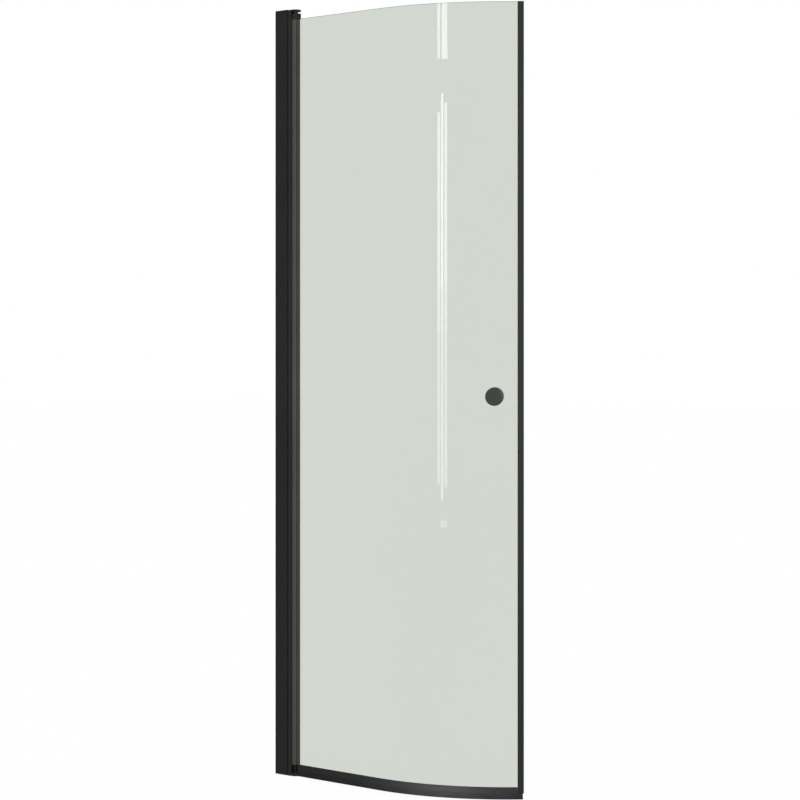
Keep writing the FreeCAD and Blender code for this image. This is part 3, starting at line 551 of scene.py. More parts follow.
def broken_ends(start, end, edge, middle=(), steps=EDGE_STEPS):
    """Stations along a sweep whose two end edges are quarter rounds, with the inset at each."""
    angle = np.linspace(0, np.pi / 2, steps)
    rise = edge * (1 - np.cos(angle))
    depth = edge * (1 - np.sin(angle))
    stations = np.concatenate([start + rise, middle, (end - rise)[::-1]])
    return stations, np.concatenate([depth, np.zeros(len(middle)), depth[::-1]])


def plan(s, offset):
    """The door's plan line: straight from the wall, an arc towards the inside, straight again.

    At a distance s the line has turned by (s - start) / radius, kept between nothing and the full
    bend, and an offset to the inside shortens the arc's radius.
    """
    size = sizes()
    turn = np.clip((s - size.bend_start) / size.bend_radius, 0, size.bend_angle)
    run_out = np.maximum(0, s - bend_end())
    radius = size.bend_radius - offset
    x = np.minimum(s, size.bend_start) + radius * np.sin(turn) + run_out * np.cos(turn)
    y = size.bend_radius - radius * np.cos(turn) + run_out * np.sin(turn)
    return x, y


def bend_end():
    """Distance along the plan line at which the bend ends."""
    return sizes().bend_start + sizes().bend_radius * sizes().bend_angle


def bend_stations(start, end):
    """Distances along the plan line, close together on the bend and none on the straights."""
    first = max(start, sizes().bend_start)
    last = min(end, bend_end())
    if last <= first:
        return np.empty(0)
    return np.linspace(first, last, int((last - first) / BEND_STEP) + 2)


def upright(name, shape, bottom, top, edge=None, on_plan=False):
    """An outline carried straight up, with broken end edges, or sharp ones for a piece to cut with.

    On the plan line, the outline's x is the distance along the line and its y the offset from it.
    """
    z, depth = np.array([bottom, top]), np.zeros(2)
    if edge is not None:
        z, depth = broken_ends(bottom, top, edge)
    x, y = np.moveaxis(inset(shape, depth), -1, 0)
    if on_plan:
        x, y = plan(x, y)
    return loft(name, np.stack([x, y, np.broadcast_to(z[:, None], x.shape)], axis=2))


def along_plan(name, section, start, end, edge):
    """A section of offset and height carried along the door's plan line, with broken end edges."""
    middle = bend_stations(start, end)
    middle = middle[(middle > start + edge) & (middle < end - edge)]
    s, depth = broken_ends(start, end, edge, middle)
    offset, z = np.moveaxis(inset(section, depth), -1, 0)
    x, y = plan(np.broadcast_to(s[:, None], z.shape), offset)
    return loft(name, np.stack([x, y, z], axis=2))


def sideways(name, shape, low, high):
    """An outline of x and z carried along y, to cut a slot with."""
    ends = np.array([low, high])[:, None]
    x, z = shape.T
    return loft(name, np.stack(np.broadcast_arrays(x, ends, z), axis=2))


def turned(name, profile, foot, axis, spoke, steps=ROD_STEPS):
    """A profile of radius and height turned about an axis from a foot point, from a first spoke on."""
    angle = np.linspace(0, 2 * np.pi, steps, endpoint=False)[:, None]
    spokes = np.cos(angle) * spoke + np.sin(angle) * np.cross(axis, spoke)
    radius, height = np.asarray(profile).T[:, :, None, None]
    return loft(name, np.asarray(foot) + height * axis + radius * spokes)


def rod(name, radius, foot, axis, length):
    """A plain cylinder from a foot point along an axis."""
    return turned(name, [(radius, 0), (radius, length)], foot, axis, OUT if axis[2] else UP)


def pivot_rod(name, radius, bottom, top):
    """A plain cylinder about the hinge's axis."""
    return rod(name, radius, (*PIVOT, bottom), UP, top - bottom)


def worked(piece, tools, operation):
    """Cuts other closed pieces out of a piece, or joins them to it, and removes them."""
    for tool in tools:
        step = piece.modifiers.new("step", "BOOLEAN")
        step.operation = operation
        step.object = tool
        step.solver = "EXACT"
    graph = bpy.context.evaluated_depsgraph_get()
    mesh = bpy.data.meshes.new_from_object(piece.evaluated_get(graph))
    piece.modifiers.clear()
    piece.data = smoothed(mesh)
    for tool in tools:
        bpy.data.objects.remove(tool)
    return piece


def drilled(piece, *cutters):
    """Cuts other closed pieces out of a piece."""
    return worked(piece, cutters, "DIFFERENCE")


def welded(piece, *others):
    """Joins other closed pieces to a piece."""
    return worked(piece, others, "UNION")


def middle_of(node):
    """The middle of a node's box."""
    low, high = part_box(node)
    return (np.array(low) + np.array(high)) / 2


def glass_half():
    """Half the width of the gaps that take the bare glass."""
    return sizes().glass / 2 + FIT


def slot_half():
    """Half the width of the slots that take the glass and its gasket."""
    return sizes().glass / 2 + GASKET_SIDE + FIT


# Wall side

WALL_WEB = 0.002
WALL_SIDE = 0.0018
SHADOW_LINE_PLACE = 0.0175
SHADOW_LINE_HALF = 0.0007
WALL_SCREW_RADIUS = 0.00275
WALL_CAP_PLUG = 0.005
LOCK_SCREW_RADIUS = 0.00205
LOCK_HEAD_RADIUS = 0.0036
LOCK_SCREW_COUNT = 3
MILLIMETRE = 0.001


def lock_screw_places():
    """Distance from the wall and height of each lock screw, evenly spaced between the end ones."""
    low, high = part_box("lock_screws")
    heights = np.linspace(low.z + LOCK_HEAD_RADIUS, high.z - LOCK_HEAD_RADIUS, LOCK_SCREW_COUNT)
    return [(middle_of("lock_screws")[0], z) for z in heights]


def wall_channel():
    """The wall profile: a U with rounded lips, a fine groove along each side and its screw holes."""
    half, depth, groove = WALL_HIGH.y, WALL_HIGH.x, sizes().shadow_line
    inner = half - WALL_SIDE
    left, right = SHADOW_LINE_PLACE - SHADOW_LINE_HALF, SHADOW_LINE_PLACE + SHADOW_LINE_HALF
    shape = even_outline([
        (0, -half, 0), (left, -half, 0), (SHADOW_LINE_PLACE, groove - half, 0), (right, -half, 0),
        (depth, -half, LIP_ROUND), (depth, -inner, LIP_ROUND / 2), (WALL_WEB, -inner, LIP_ROUND / 2)])
    piece = upright("wall_channel", shape, WALL_LOW.z, WALL_HIGH.z, sizes().edge)
    cutters = []
    for mount in frame["record"]["mounts"]:
        if mount["kind"] == "bolt_pattern":
            middle, reach = mount["pos_m"][2], mount["dims"]["spacing_y_mm"] * MILLIMETRE / 2
            for z in (middle - reach, middle + reach):
                foot = (-OVERCUT, 0, z)
                cutters.append(rod("screw_hole", WALL_SCREW_RADIUS, foot, OUT, WALL_WEB + 2 * OVERCUT))
    for x, z in lock_screw_places():
        foot = (x, inner - OVERCUT, z)
        cutters.append(rod("lock_hole", LOCK_SCREW_RADIUS, foot, INWARD, WALL_SIDE + 2 * OVERCUT))
    return stand_for(drilled(piece, *cutters), "wall_profile")


def wall_cap():
    """The plate on the wall profile, with a soft rim and a plug behind the post."""
    low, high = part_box("wall_profile_top_cap")
    half, depth = high.y, high.x
    shape = even_outline([(0, -half, 0), (depth, -half, LIP_ROUND)])
    plate = upright("wall_cap", shape, WALL_HIGH.z, high.z, sizes().cap_edge)
    plug_half = half - WALL_SIDE - FIT
    plug_start = WALL_WEB + FIT
    plug_shape = box_outline(plug_start, plug_start + WALL_CAP_PLUG, -plug_half, plug_half)
    plug = upright("plug", plug_shape, low.z, WALL_HIGH.z + CAP_PLUG_SINK, sizes().edge)
    return stand_for(welded(plate, plug), "wall_profile_top_cap")


class SHOWERDOOR_OT_wall_side(bpy.types.Operator):
    """Makes the wall profile and its cap, and dresses the lock screws"""

    bl_idname = "shower_door.wall_side"
    bl_label = "Wall side"

    def execute(self, context):
        wall_channel()
        wall_cap()
        dress("lock_screws", "lock_nuts", "lock_screw_covers")
        return {"FINISHED"}


# Hinge post

POST_LOW, POST_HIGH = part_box("hinge_post")
TOP_CAP_LOW, TOP_CAP_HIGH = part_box("post_top_cap")
FOOT_CAP_LOW, FOOT_CAP_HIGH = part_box("post_bottom_cap")
HEAD_START = 0.043
TONGUE_HALF = 0.0108
PRONG_ROUND = 0.003
PRONG_TIP = 0.0004
RECESS_RADIUS = 0.0108
SEAL_HALF = 0.0015
SEAL_ROOT = 0.046
HOLLOW_START = 0.0138
HOLLOW_END = 0.0442
HOLLOW_HALF = 0.009
HOLLOW_ROUND = 0.0005
POST_FOOT = 0.008
PORT_INSET = 0.003
PORT_RADIUS = 0.00135
SINK_RADIUS = 0.00215
SLOT_OUT = 0.010
SLOT_IN = 0.0025
SLOT_RADIUS = 0.0024
CAP_PLUG_DEPTH = 0.006
PIN_BORE = 0.00405
PIN_HEAD_RADIUS = 0.0069
PIN_HEAD_SINK = 0.0024
BOSS_RADIUS = 0.006
BOSS_FOOT = 1.8881
ARM_RADIUS = 0.010
LOWER_PIN_RADIUS = 0.003
LOWER_PIN_SKIN = 0.0015


def ports():
    """Where the two screws of an end cap run, one on each side of the post."""
    return [(POST_HIGH.x - PORT_INSET, side * (POST_HIGH.y - PORT_INSET)) for side in (-1, 1)]


def post_body():
    """The hinge post: a hollow tongue, and a head whose two rounded prongs hold the barrel's recess."""
    front, half, top = POST_HIGH.x, POST_HIGH.y, POST_HIGH.z
    mouth = math.sqrt(RECESS_RADIUS ** 2 - (PIVOT[0] - front) ** 2)
    first = 180 + angle_at(RECESS_RADIUS, mouth)
    last = 180 + angle_at(RECESS_RADIUS, SEAL_HALF)
    shape = even_outline(
        [(POST_LOW.x, -TONGUE_HALF, HOLLOW_ROUND), (HEAD_START, -TONGUE_HALF, 0),
         (HEAD_START, -half, HOLLOW_ROUND), (front, -half, PRONG_ROUND), (front, -mouth, PRONG_TIP)],
        arc(PIVOT, RECESS_RADIUS, first, last)[1:], [(SEAL_ROOT, -SEAL_HALF, 0)])
    piece = upright("post_body", shape, POST_FOOT, top, sizes().edge)
    foot_half = TONGUE_HALF - FIT
    foot_shape = box_outline(POST_LOW.x + FIT, HEAD_START - FIT, -foot_half, foot_half, HOLLOW_ROUND)
    welded(piece, upright("foot", foot_shape, POST_LOW.z, POST_FOOT + OVERCUT, sizes().edge))
    hollow = box_outline(HOLLOW_START, HOLLOW_END, -HOLLOW_HALF, HOLLOW_HALF, HOLLOW_ROUND)
    cutters = [upright("hollow", hollow, -OVERCUT, top + OVERCUT)]
    for place in ports():
        foot = (*place, POST_FOOT - OVERCUT)
        cutters.append(rod("port", PORT_RADIUS, foot, UP, top - POST_FOOT + 2 * OVERCUT))
    for x, z in lock_screw_places():
        slot = box_outline(
            x - SLOT_OUT - SLOT_RADIUS, x + SLOT_IN + SLOT_RADIUS, z - SLOT_RADIUS, z + SLOT_RADIUS,
            SLOT_RADIUS - FIT)
        cutters.append(sideways("slot", slot, HOLLOW_HALF - OVERCUT, TONGUE_HALF + OVERCUT))
    return stand_for(drilled(piece, *cutters), "hinge_post")


def screw_sinks(outer, inward, length):
    """Countersunk holes for the two screws of an end cap, to cut with."""
    cone = SINK_RADIUS - PORT_RADIUS
    profile = [(SINK_RADIUS + FIT, -FIT), (PORT_RADIUS, cone), (PORT_RADIUS, length)]
    return [turned("sink", profile, (*place, outer), inward, OUT) for place in ports()]


def cap_plug(bottom, top):
    """The part of an end cap that goes into the post's hollow."""
    end, half = HOLLOW_END - FIT, HOLLOW_HALF - FIT
    shape = box_outline(end - CAP_PLUG_DEPTH, end, -half, half, HOLLOW_ROUND)
    return upright("plug", shape, bottom, top, sizes().edge)


def post_top():
    """The upper cap: a plate with a round nose, a soft rim, a boss round the pin and two sunk screws."""
    half, top, seat = TOP_CAP_HIGH.y, TOP_CAP_HIGH.z, POST_HIGH.z
    shape = outline(
        [(HEAD_START, half, LIP_ROUND), (HEAD_START, -half, LIP_ROUND)], arc(PIVOT, half, -90, 90, steps=49))
    plate = upright("post_top", shape, seat, top, sizes().cap_edge)
    boss = pivot_rod("boss", BOSS_RADIUS, BOSS_FOOT, seat + CAP_PLUG_SINK)
    welded(plate, cap_plug(TOP_CAP_LOW.z, seat + CAP_PLUG_SINK), boss)
    bore = pivot_rod("bore", PIN_BORE, BOSS_FOOT - OVERCUT, top + OVERCUT)
    recess = pivot_rod("recess", PIN_HEAD_RADIUS, top - PIN_HEAD_SINK, top + OVERCUT)
    sinks = screw_sinks(top, -UP, top - seat + OVERCUT)
    return stand_for(drilled(plate, bore, recess, *sinks), "post_top_cap")


def post_foot():
    """The lower cap: a plate that follows the prongs, with an arm under the hinge for the lower pin."""
    half, front = FOOT_CAP_HIGH.y, POST_HIGH.x
    shape = even_outline(
        [(HEAD_START, -half, LIP_ROUND)],
        arc((front - PRONG_ROUND, PRONG_ROUND - half), PRONG_ROUND, -90, 0, steps=12),
        arc(PIVOT, ARM_RADIUS, -90, 0, steps=32)[:-1])
    plate = upright("post_foot", shape, FOOT_CAP_LOW.z, POST_FOOT, sizes().edge)
    welded(plate, cap_plug(POST_FOOT - CAP_PLUG_SINK, FOOT_CAP_HIGH.z))
    pin_hole = pivot_rod("pin_hole", LOWER_PIN_RADIUS, LOWER_PIN_SKIN, POST_FOOT + OVERCUT)
    sinks = screw_sinks(FOOT_CAP_LOW.z, UP, POST_FOOT + OVERCUT)
    return stand_for(drilled(plate, pin_hole, *sinks), "post_bottom_cap")


class SHOWERDOOR_OT_hinge_post(bpy.types.Operator):
    """Makes the hinge post and its caps, and dresses its seal, pins and lower cam"""

    bl_idname = "shower_door.hinge_post"
    bl_label = "Hinge post"

    def execute(self, context):
        post_body()
        post_top()
        post_foot()
        dress("post_gap_seal", "post_cap_screws", "lower_pivot_pin", "lower_cam", "upper_pivot_pin")
        return {"FINISHED"}


# Hinge side of the door

HINGE_LOW, HINGE_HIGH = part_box("door_hinge_profile")
DOOR_CAP_LOW, DOOR_CAP_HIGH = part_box("door_top_cap")
BARREL_RADIUS = 0.0105
BARREL_STEPS = 72
BARREL_BORE = 0.0056
NECK_HALF = 0.0041
NECK_START = 0.0657
FLANGE_ROOT = 0.0673
FLANGE_HALF = 0.0053
SEAT_FLOOR = 0.0688
INNER_LIP_END = 0.071
GASKET_LIP = 0.0002
CAP_HALF = 0.0057
BOSS_SOCKET = 0.0064
BOSS_SOCKET_DEPTH = 0.006
KEY_HALF = 0.00315


def barrel_profile():
    """The door's hinge extrusion: a bored barrel, a groove each side and a seat round the glass edge."""
    slot, mouth, fine = slot_half(), HINGE_HIGH.x, sizes().edge
    turn = math.degrees(math.acos((NECK_START - PIVOT[0]) / BARREL_RADIUS))
    shape = outline(
        arc(PIVOT, BARREL_RADIUS, turn, 360 - turn, BARREL_STEPS),
        [(NECK_START, -NECK_HALF, 0), (FLANGE_ROOT, -NECK_HALF, 0), (FLANGE_ROOT, -FLANGE_HALF, fine),
         (mouth, -FLANGE_HALF, LIP_ROUND), (mouth, -slot, fine), (SEAT_FLOOR, -slot, 0),
         (SEAT_FLOOR, slot, 0), (INNER_LIP_END, slot, fine), (INNER_LIP_END, FLANGE_HALF, LIP_ROUND),
         (FLANGE_ROOT, FLANGE_HALF, fine), (FLANGE_ROOT, NECK_HALF, 0), (NECK_START, NECK_HALF, 0)])
    piece = upright("barrel_profile", shape, HINGE_LOW.z, HINGE_HIGH.z, fine)
    bore = pivot_rod("bore", BARREL_BORE, HINGE_LOW.z - OVERCUT, HINGE_HIGH.z + OVERCUT)
    return stand_for(drilled(piece, bore), "door_hinge_profile")


def barrel_cap():
    """The cap on the barrel: a soft-rimmed crown, a finger outside the glass and a plug keyed to the pin."""
    seat, top, nose, glass = HINGE_HIGH.z, DOOR_CAP_HIGH.z, DOOR_CAP_HIGH.x, glass_half()
    turn = angle_at(BARREL_RADIUS, CAP_HALF)
    shape = outline(
        arc(PIVOT, BARREL_RADIUS, turn, 360 - turn, BARREL_STEPS),
        [(nose, -CAP_HALF, LIP_ROUND), (nose, -glass, LIP_ROUND), (INNER_LIP_END, -glass, 0),
         (INNER_LIP_END, CAP_HALF, LIP_ROUND)])
    crown = upright("barrel_cap", shape, seat, top, sizes().cap_edge)
    welded(crown, pivot_rod("plug", BARREL_BORE - FIT, DOOR_CAP_LOW.z, seat + CAP_PLUG_SINK))
    turn = angle_at(PIN_BORE, KEY_HALF)
    key = outline(arc(PIVOT, PIN_BORE, -turn, turn), arc(PIVOT, PIN_BORE, 180 - turn, 180 + turn))
    keyhole = upright("keyhole", key, DOOR_CAP_LOW.z - OVERCUT, top + OVERCUT)
    socket = pivot_rod("socket", BOSS_SOCKET, top - BOSS_SOCKET_DEPTH, top + OVERCUT)
    slot = box_outline(GLASS_LOW.x - FIT, nose + OVERCUT, -glass, glass + FIT)
    glass_slot = upright("glass_slot", slot, seat - OVERCUT, GLASS_HIGH.z + sizes().edge)
    return stand_for(drilled(crown, keyhole, socket, glass_slot), "door_top_cap")


def hinge_gasket():
    """The rubber between the hinge seat and the glass, with a long outer leg that ends in a soft lip."""
    half, glass = slot_half() - FIT, glass_half()
    floor_line, lip = SEAT_FLOOR + GASKET_WEB, HINGE_HIGH.x + GASKET_LIP
    shape = outline([
        (SEAT_FLOOR, -half, 0), (lip, -half, GASKET_TIP), (lip, -glass, GASKET_TIP),
        (floor_line, -glass, 0), (floor_line, glass, 0), (INNER_LIP_END, glass, GASKET_TIP),
        (INNER_LIP_END, half, GASKET_TIP), (SEAT_FLOOR, half, 0)])
    piece = upright("hinge_gasket", shape, HINGE_LOW.z, HINGE_HIGH.z, FIT)
    return stand_for(piece, "hinge_glass_gasket")


class SHOWERDOOR_OT_hinge_side(bpy.types.Operator):
    """Makes the hinge profile of the door with its cap and gasket, and dresses the cam follower"""

    bl_idname = "shower_door.hinge_side"
    bl_label = "Hinge side"

    def execute(self, context):
        barrel_profile()
        barrel_cap()
        hinge_gasket()
        dress("cam_follower")
        return {"FINISHED"}


# Pane

HOLE_RADIUS = 0.0064
HOLE_FIELD = 0.02
HOLE_LINES = 9
HOLE_RINGS = 3
PANE_ROWS = 24
COLUMN_GAP = 0.002
ROW_GAP = 0.01
RIM_STEPS = 4
FACE_SLACK = 0.05


def knob_place():
    """Distance along the plan line and height of the knob's axis, from the bush in the glass."""
    x, y, z = middle_of("knob_glass_bush")
    turn = math.atan2(x - sizes().bend_start, sizes().bend_radius - y)
    return np.array([sizes().bend_start + sizes().bend_radius * turn, z])


def pane_end():
    """Distance along the plan line at which the glass ends, inside the closing profile."""
    return bend_end() + CLOSING_CHANNEL - CLOSING_WEB - GASKET_WEB - FIT


def border(index):
    """The outer points of a grid of indices, in order round it."""
    return np.concatenate([index[:-1, 0], index[-1, :-1], index[:0:-1, -1], index[0, :0:-1]])


def lines_round(middle, lines, gap):
    """Grid lines in order: even ones over the field of the hole, and the given ones clear of it."""
    field = middle + np.linspace(-HOLE_FIELD, HOLE_FIELD, HOLE_LINES)
    clear = np.abs(lines - middle) > HOLE_FIELD + gap
    return np.sort(np.concatenate([lines[clear], field]))


def pane_sheet():
    """The pane as a flat sheet: its points (distance and height), faces, outer rim and hole.

    It is a grid without the cells of a square field round the hole. Rings fill the field, each a
    share of the way from the square border along the spokes to the round hole.
    """
    knob = knob_place()
    columns = np.array([GLASS_LOW.x, *bend_stations(GLASS_LOW.x, pane_end()), pane_end()])
    s = lines_round(knob[0], columns, COLUMN_GAP)
    z = lines_round(knob[1], np.linspace(GLASS_LOW.z, GLASS_HIGH.z, PANE_ROWS), ROW_GAP)
    points = np.stack(np.meshgrid(s, z, indexing="ij"), axis=-1).reshape(-1, 2)
    index = np.arange(len(points)).reshape(len(s), len(z))
    left, low = np.searchsorted(s, knob[0] - HOLE_FIELD), np.searchsorted(z, knob[1] - HOLE_FIELD)
    cells = np.stack([index[:-1, :-1], index[1:, :-1], index[1:, 1:], index[:-1, 1:]], axis=-1)
    kept = np.ones(cells.shape[:2], bool)
    kept[left:left + HOLE_LINES - 1, low:low + HOLE_LINES - 1] = False
    square = border(index[left:left + HOLE_LINES, low:low + HOLE_LINES])
    spokes = points[square] - knob
    share = np.linspace(0, 1, HOLE_RINGS + 1)[1:, None, None]
    rings = (1 - share) * spokes + share * unit(spokes) * HOLE_RADIUS + knob
    numbers = len(points) + np.arange(HOLE_RINGS * len(square)).reshape(HOLE_RINGS, -1)
    faces = np.concatenate([cells[kept], bands(np.concatenate([square[None], numbers]))])
    return np.concatenate([points, rings.reshape(-1, 2)]), faces, border(index), numbers[-1]


def pane():
    """The bent pane: the sheet at half the glass's thickness to each side, bent along the plan line.

    The outer border of each face is drawn in by the arris, and rings of the same border, quarter
    rounds at both faces, close the rim.
    """
    half, arris = sizes().glass / 2, sizes().arris
    sheet, faces, rim, hole = pane_sheet()
    least, most = sheet.min(0), sheet.max(0)

    def placed(part, inward, offset):
        """Points of the sheet at an offset, kept a little inside the outer border."""
        s, z = np.clip(sheet[part], least + inward, most - inward).T
        return np.stack([*plan(s, offset), z], axis=-1)

    count = len(sheet)
    every = np.arange(count)
    offsets, depths = broken_ends(-half, half, arris, steps=RIM_STEPS)
    points = [placed(every, arris, half), placed(every, arris, -half)]
    points += [placed(rim, inward, -offset) for inward, offset in zip(depths[1:-1], offsets[1:-1])]
    between = 2 * count + np.arange((len(depths) - 2) * len(rim)).reshape(-1, len(rim))
    loops = np.concatenate([rim[None], between, count + rim[None]])
    hole_loops = np.stack([hole, count + hole])
    faces = np.concatenate([faces, count + faces[:, ::-1], bands(loops), bands(hole_loops)])
    piece = mesh_piece("pane", np.concatenate(points), faces.tolist())
    return stand_for(marked_edge(piece, half), "glass_panel")


def marked_edge(piece, half):
    """Marks the points between the two faces of the glass, which are its ground edges.

    The offset of a point is its distance from the bend's centre less the radius. On the straights
    that distance is taken square to the plan line.
    """
    size, mesh = sizes(), piece.data
    points = np.empty(len(mesh.vertices) * 3)
    mesh.vertices.foreach_get("co", points)
    x, y, _ = points.reshape(-1, 3).T
    along, aside = x - size.bend_start, size.bend_radius - y
    past = along * math.sin(size.bend_angle) + aside * math.cos(size.bend_angle)
    turn = np.arctan2(along, aside)
    distance = np.where(turn > size.bend_angle, past, np.hypot(along, aside))
    offset = np.abs(np.where(turn < 0, aside, distance) - size.bend_radius)
    mark = mesh.attributes.new(EDGE_MARK, "FLOAT", "POINT")
    mark.data.foreach_set("value", np.where(offset < half - size.arris * FACE_SLACK, 1.0, 0.0))
    return piece


class SHOWERDOOR_OT_pane(bpy.types.Operator):
    """Makes the bent pane of glass"""

    bl_idname = "shower_door.pane"
    bl_label = "Pane"

    def execute(self, context):
        pane()
        return {"FINISHED"}


# Bottom rail and sweep

RAIL_SEAT = 0.015
RAIL_WEB = 0.0016
RAIL_ROUND = 0.001
RAIL_EDGE = 0.0003
RAIL_SHORT = 0.001
RIB_NECK_HALF = 0.0012
RIB_NECK_FOOT = 0.012
RIB_HEAD_HALF = 0.003
RIB_HEAD = 0.0015
CORNER_ROUND = 0.0002
SWEEP_WAIST = 0.0065
SWEEP_ROUND = 0.0006
SWEEP_STEP_ROUND = 0.0004
FIN_THICK = 0.0014
FIN_INSET = 0.001
SWEEP_END_INSET = 0.0024
END_CAP = 0.002


def rail_half():
    """Half the width of the rail."""
    return -RAIL_LOW.y


def sweep_end():
    """Distance along the plan line at which the sweep meets its end cap."""
    return closing_face() + MAGNET_DEPTH - SWEEP_END_INSET - END_CAP


def rail():
    """The rail: a U round the gasket, with a T-shaped rib under it for the sweep."""
    half, slot, top = rail_half(), slot_half(), RAIL_HIGH.z
    section = even_section([
        (RIB_HEAD_HALF, RIB_NECK_FOOT - RIB_HEAD, CORNER_ROUND), (RIB_HEAD_HALF, RIB_NECK_FOOT, CORNER_ROUND),
        (RIB_NECK_HALF, RIB_NECK_FOOT, 0), (RIB_NECK_HALF, RAIL_SEAT, 0), (half, RAIL_SEAT, RAIL_EDGE),
        (half, top, RAIL_ROUND), (slot, top, RAIL_EDGE), (slot, RAIL_SEAT + RAIL_WEB, CORNER_ROUND)])
    piece = along_plan("rail", section, RAIL_LOW.x, bend_end() - RAIL_SHORT, sizes().edge)
    return stand_for(piece, "bottom_rail")


def rail_gasket():
    """The U-shaped gasket in the rail, with a small rounded lip on each side of the glass."""
    half, glass = slot_half() - FIT, glass_half()
    low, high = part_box("rail_glass_gasket")
    section = even_section([
        (half, low.z, CORNER_ROUND), (half, high.z, GASKET_TIP), (glass, high.z, GASKET_TIP),
        (glass, low.z + GASKET_WEB, CORNER_ROUND)])
    piece = along_plan("rail_gasket", section, low.x, bend_end() - RAIL_SHORT, sizes().edge)
    return stand_for(piece, "rail_glass_gasket")


def sweep():
    """The sweep: a body hung on the rail's rib, a drip lip outside and two fins to the floor."""
    half, bottom = rail_half(), SWEEP_LOW.z
    tip = half - FIN_INSET
    root = tip - FIN_THICK
    neck, head = RIB_NECK_HALF + FIT, RIB_HEAD_HALF + FIT
    section = even_section([
        (root, SWEEP_WAIST, SWEEP_ROUND), (root, bottom, SWEEP_ROUND), (tip, bottom, SWEEP_ROUND),
        (tip, SWEEP_WAIST, SWEEP_STEP_ROUND), (half, SWEEP_WAIST, SWEEP_ROUND),
        (half, RAIL_SEAT, RAIL_EDGE), (neck, RAIL_SEAT, CORNER_ROUND), (neck, RIB_NECK_FOOT + FIT, 0),
        (head, RIB_NECK_FOOT + FIT, 0), (head, RIB_NECK_FOOT - RIB_HEAD - FIT, 0)])
    piece = along_plan("sweep", section, SWEEP_LOW.x, sweep_end(), sizes().edge)
    return stand_for(piece, "bottom_sweep")


def hinge_end_cap():
    """The plate on the rail beside the hinge, with soft edges and a slot for the glass."""
    low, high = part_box("rail_hinge_end_cap")
    half, glass, slot = high.y, glass_half(), GLASS_LOW.z - FIT
    section = even_section([
        (half, low.z, LIP_ROUND), (half, high.z, RAIL_ROUND), (glass, high.z, 0), (glass, slot, 0)])
    piece = along_plan("hinge_end_cap", section, low.x, high.x, sizes().edge)
    return stand_for(piece, "rail_hinge_end_cap")


def closing_end_cap():
    """The plate that closes the sweep under the free edge."""
    low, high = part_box("rail_closing_end_cap")
    section = box_outline(-rail_half(), rail_half(), low.z, high.z, LIP_ROUND)
    piece = along_plan("closing_end_cap", section, sweep_end(), sweep_end() + END_CAP, sizes().edge)
    return stand_for(piece, "rail_closing_end_cap")


class SHOWERDOOR_OT_rail(bpy.types.Operator):
    """Makes the bottom rail, its gasket, the sweep and their end caps"""

    bl_idname = "shower_door.rail"
    bl_label = "Rail and sweep"

    def execute(self, context):
        rail()
        rail_gasket()
        sweep()
        hinge_end_cap()
        closing_end_cap()
        return {"FINISHED"}


# Closing edge

CLOSING_LOW, CLOSING_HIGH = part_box("closing_profile")
CLOSING_HALF = 0.0065
CLOSING_CHANNEL = 0.008
CLOSING_WEB = 0.0018
CLIP_HALF = 0.0012
CLIP_DEPTH = 0.001
MAGNET_DEPTH = 0.006
MAGNET_HALF = 0.006
MAGNET_SKIN = 0.0012
MAGNET_ROUND = 0.001


def closing_face():
    """Distance along the plan line at which the closing profile ends and the magnet strip begins."""
    return bend_end() + CLOSING_CHANNEL


def closing_upright(name, shape, edge):
    """An outline of distance and offset carried up the height of the closing profile."""
    return upright(name, shape, CLOSING_LOW.z, CLOSING_HIGH.z, edge, on_plan=True)


def edge_profile():
    """The closing profile: a U round the glass edge with a clip groove in its outer face."""
    mouth, face, slot, fine = bend_end(), closing_face(), slot_half(), sizes().edge
    clip, root = CLIP_HALF + FIT, face - CLIP_DEPTH
    shape = even_outline([
        (face - CLOSING_WEB, -slot, 0), (mouth, -slot, fine), (mouth, -CLOSING_HALF, LIP_ROUND),
        (face, -CLOSING_HALF, fine), (face, -clip, 0), (root, -clip, 0)])
    return stand_for(closing_upright("edge_profile", shape, fine), "closing_profile")


def edge_gasket():
    """The U-shaped rubber in the closing profile, with a soft lip each side of the glass."""
    mouth, floor_line, end = bend_end(), closing_face() - CLOSING_WEB, pane_end() + FIT
    half, glass = slot_half() - FIT, glass_half()
    shape = outline([
        (mouth, -half, GASKET_TIP), (floor_line, -half, 0), (floor_line, half, 0), (mouth, half, GASKET_TIP),
        (mouth, glass, GASKET_TIP), (end, glass, 0), (end, -glass, 0), (mouth, -glass, GASKET_TIP)])
    return stand_for(closing_upright("edge_gasket", shape, FIT), "closing_glass_gasket")


def edge_cap(name, node, soft_rim):
    """A cap across the closing profile and the magnet strip, open where the glass goes in."""
    low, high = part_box(node)
    mouth, end, glass = bend_end(), closing_face() + MAGNET_DEPTH - FIT, glass_half()
    shape = box_outline(mouth, end, -CLOSING_HALF, CLOSING_HALF, MAGNET_ROUND)
    piece = upright(name, shape, low.z, high.z, soft_rim, on_plan=True)
    slot = box_outline(mouth - OVERCUT, pane_end() + FIT, -glass, glass)
    bottom = max(low.z - OVERCUT, GLASS_LOW.z - FIT)
    cutter = upright("slot", slot, bottom, high.z + OVERCUT, on_plan=True)
    return stand_for(drilled(piece, cutter), node)


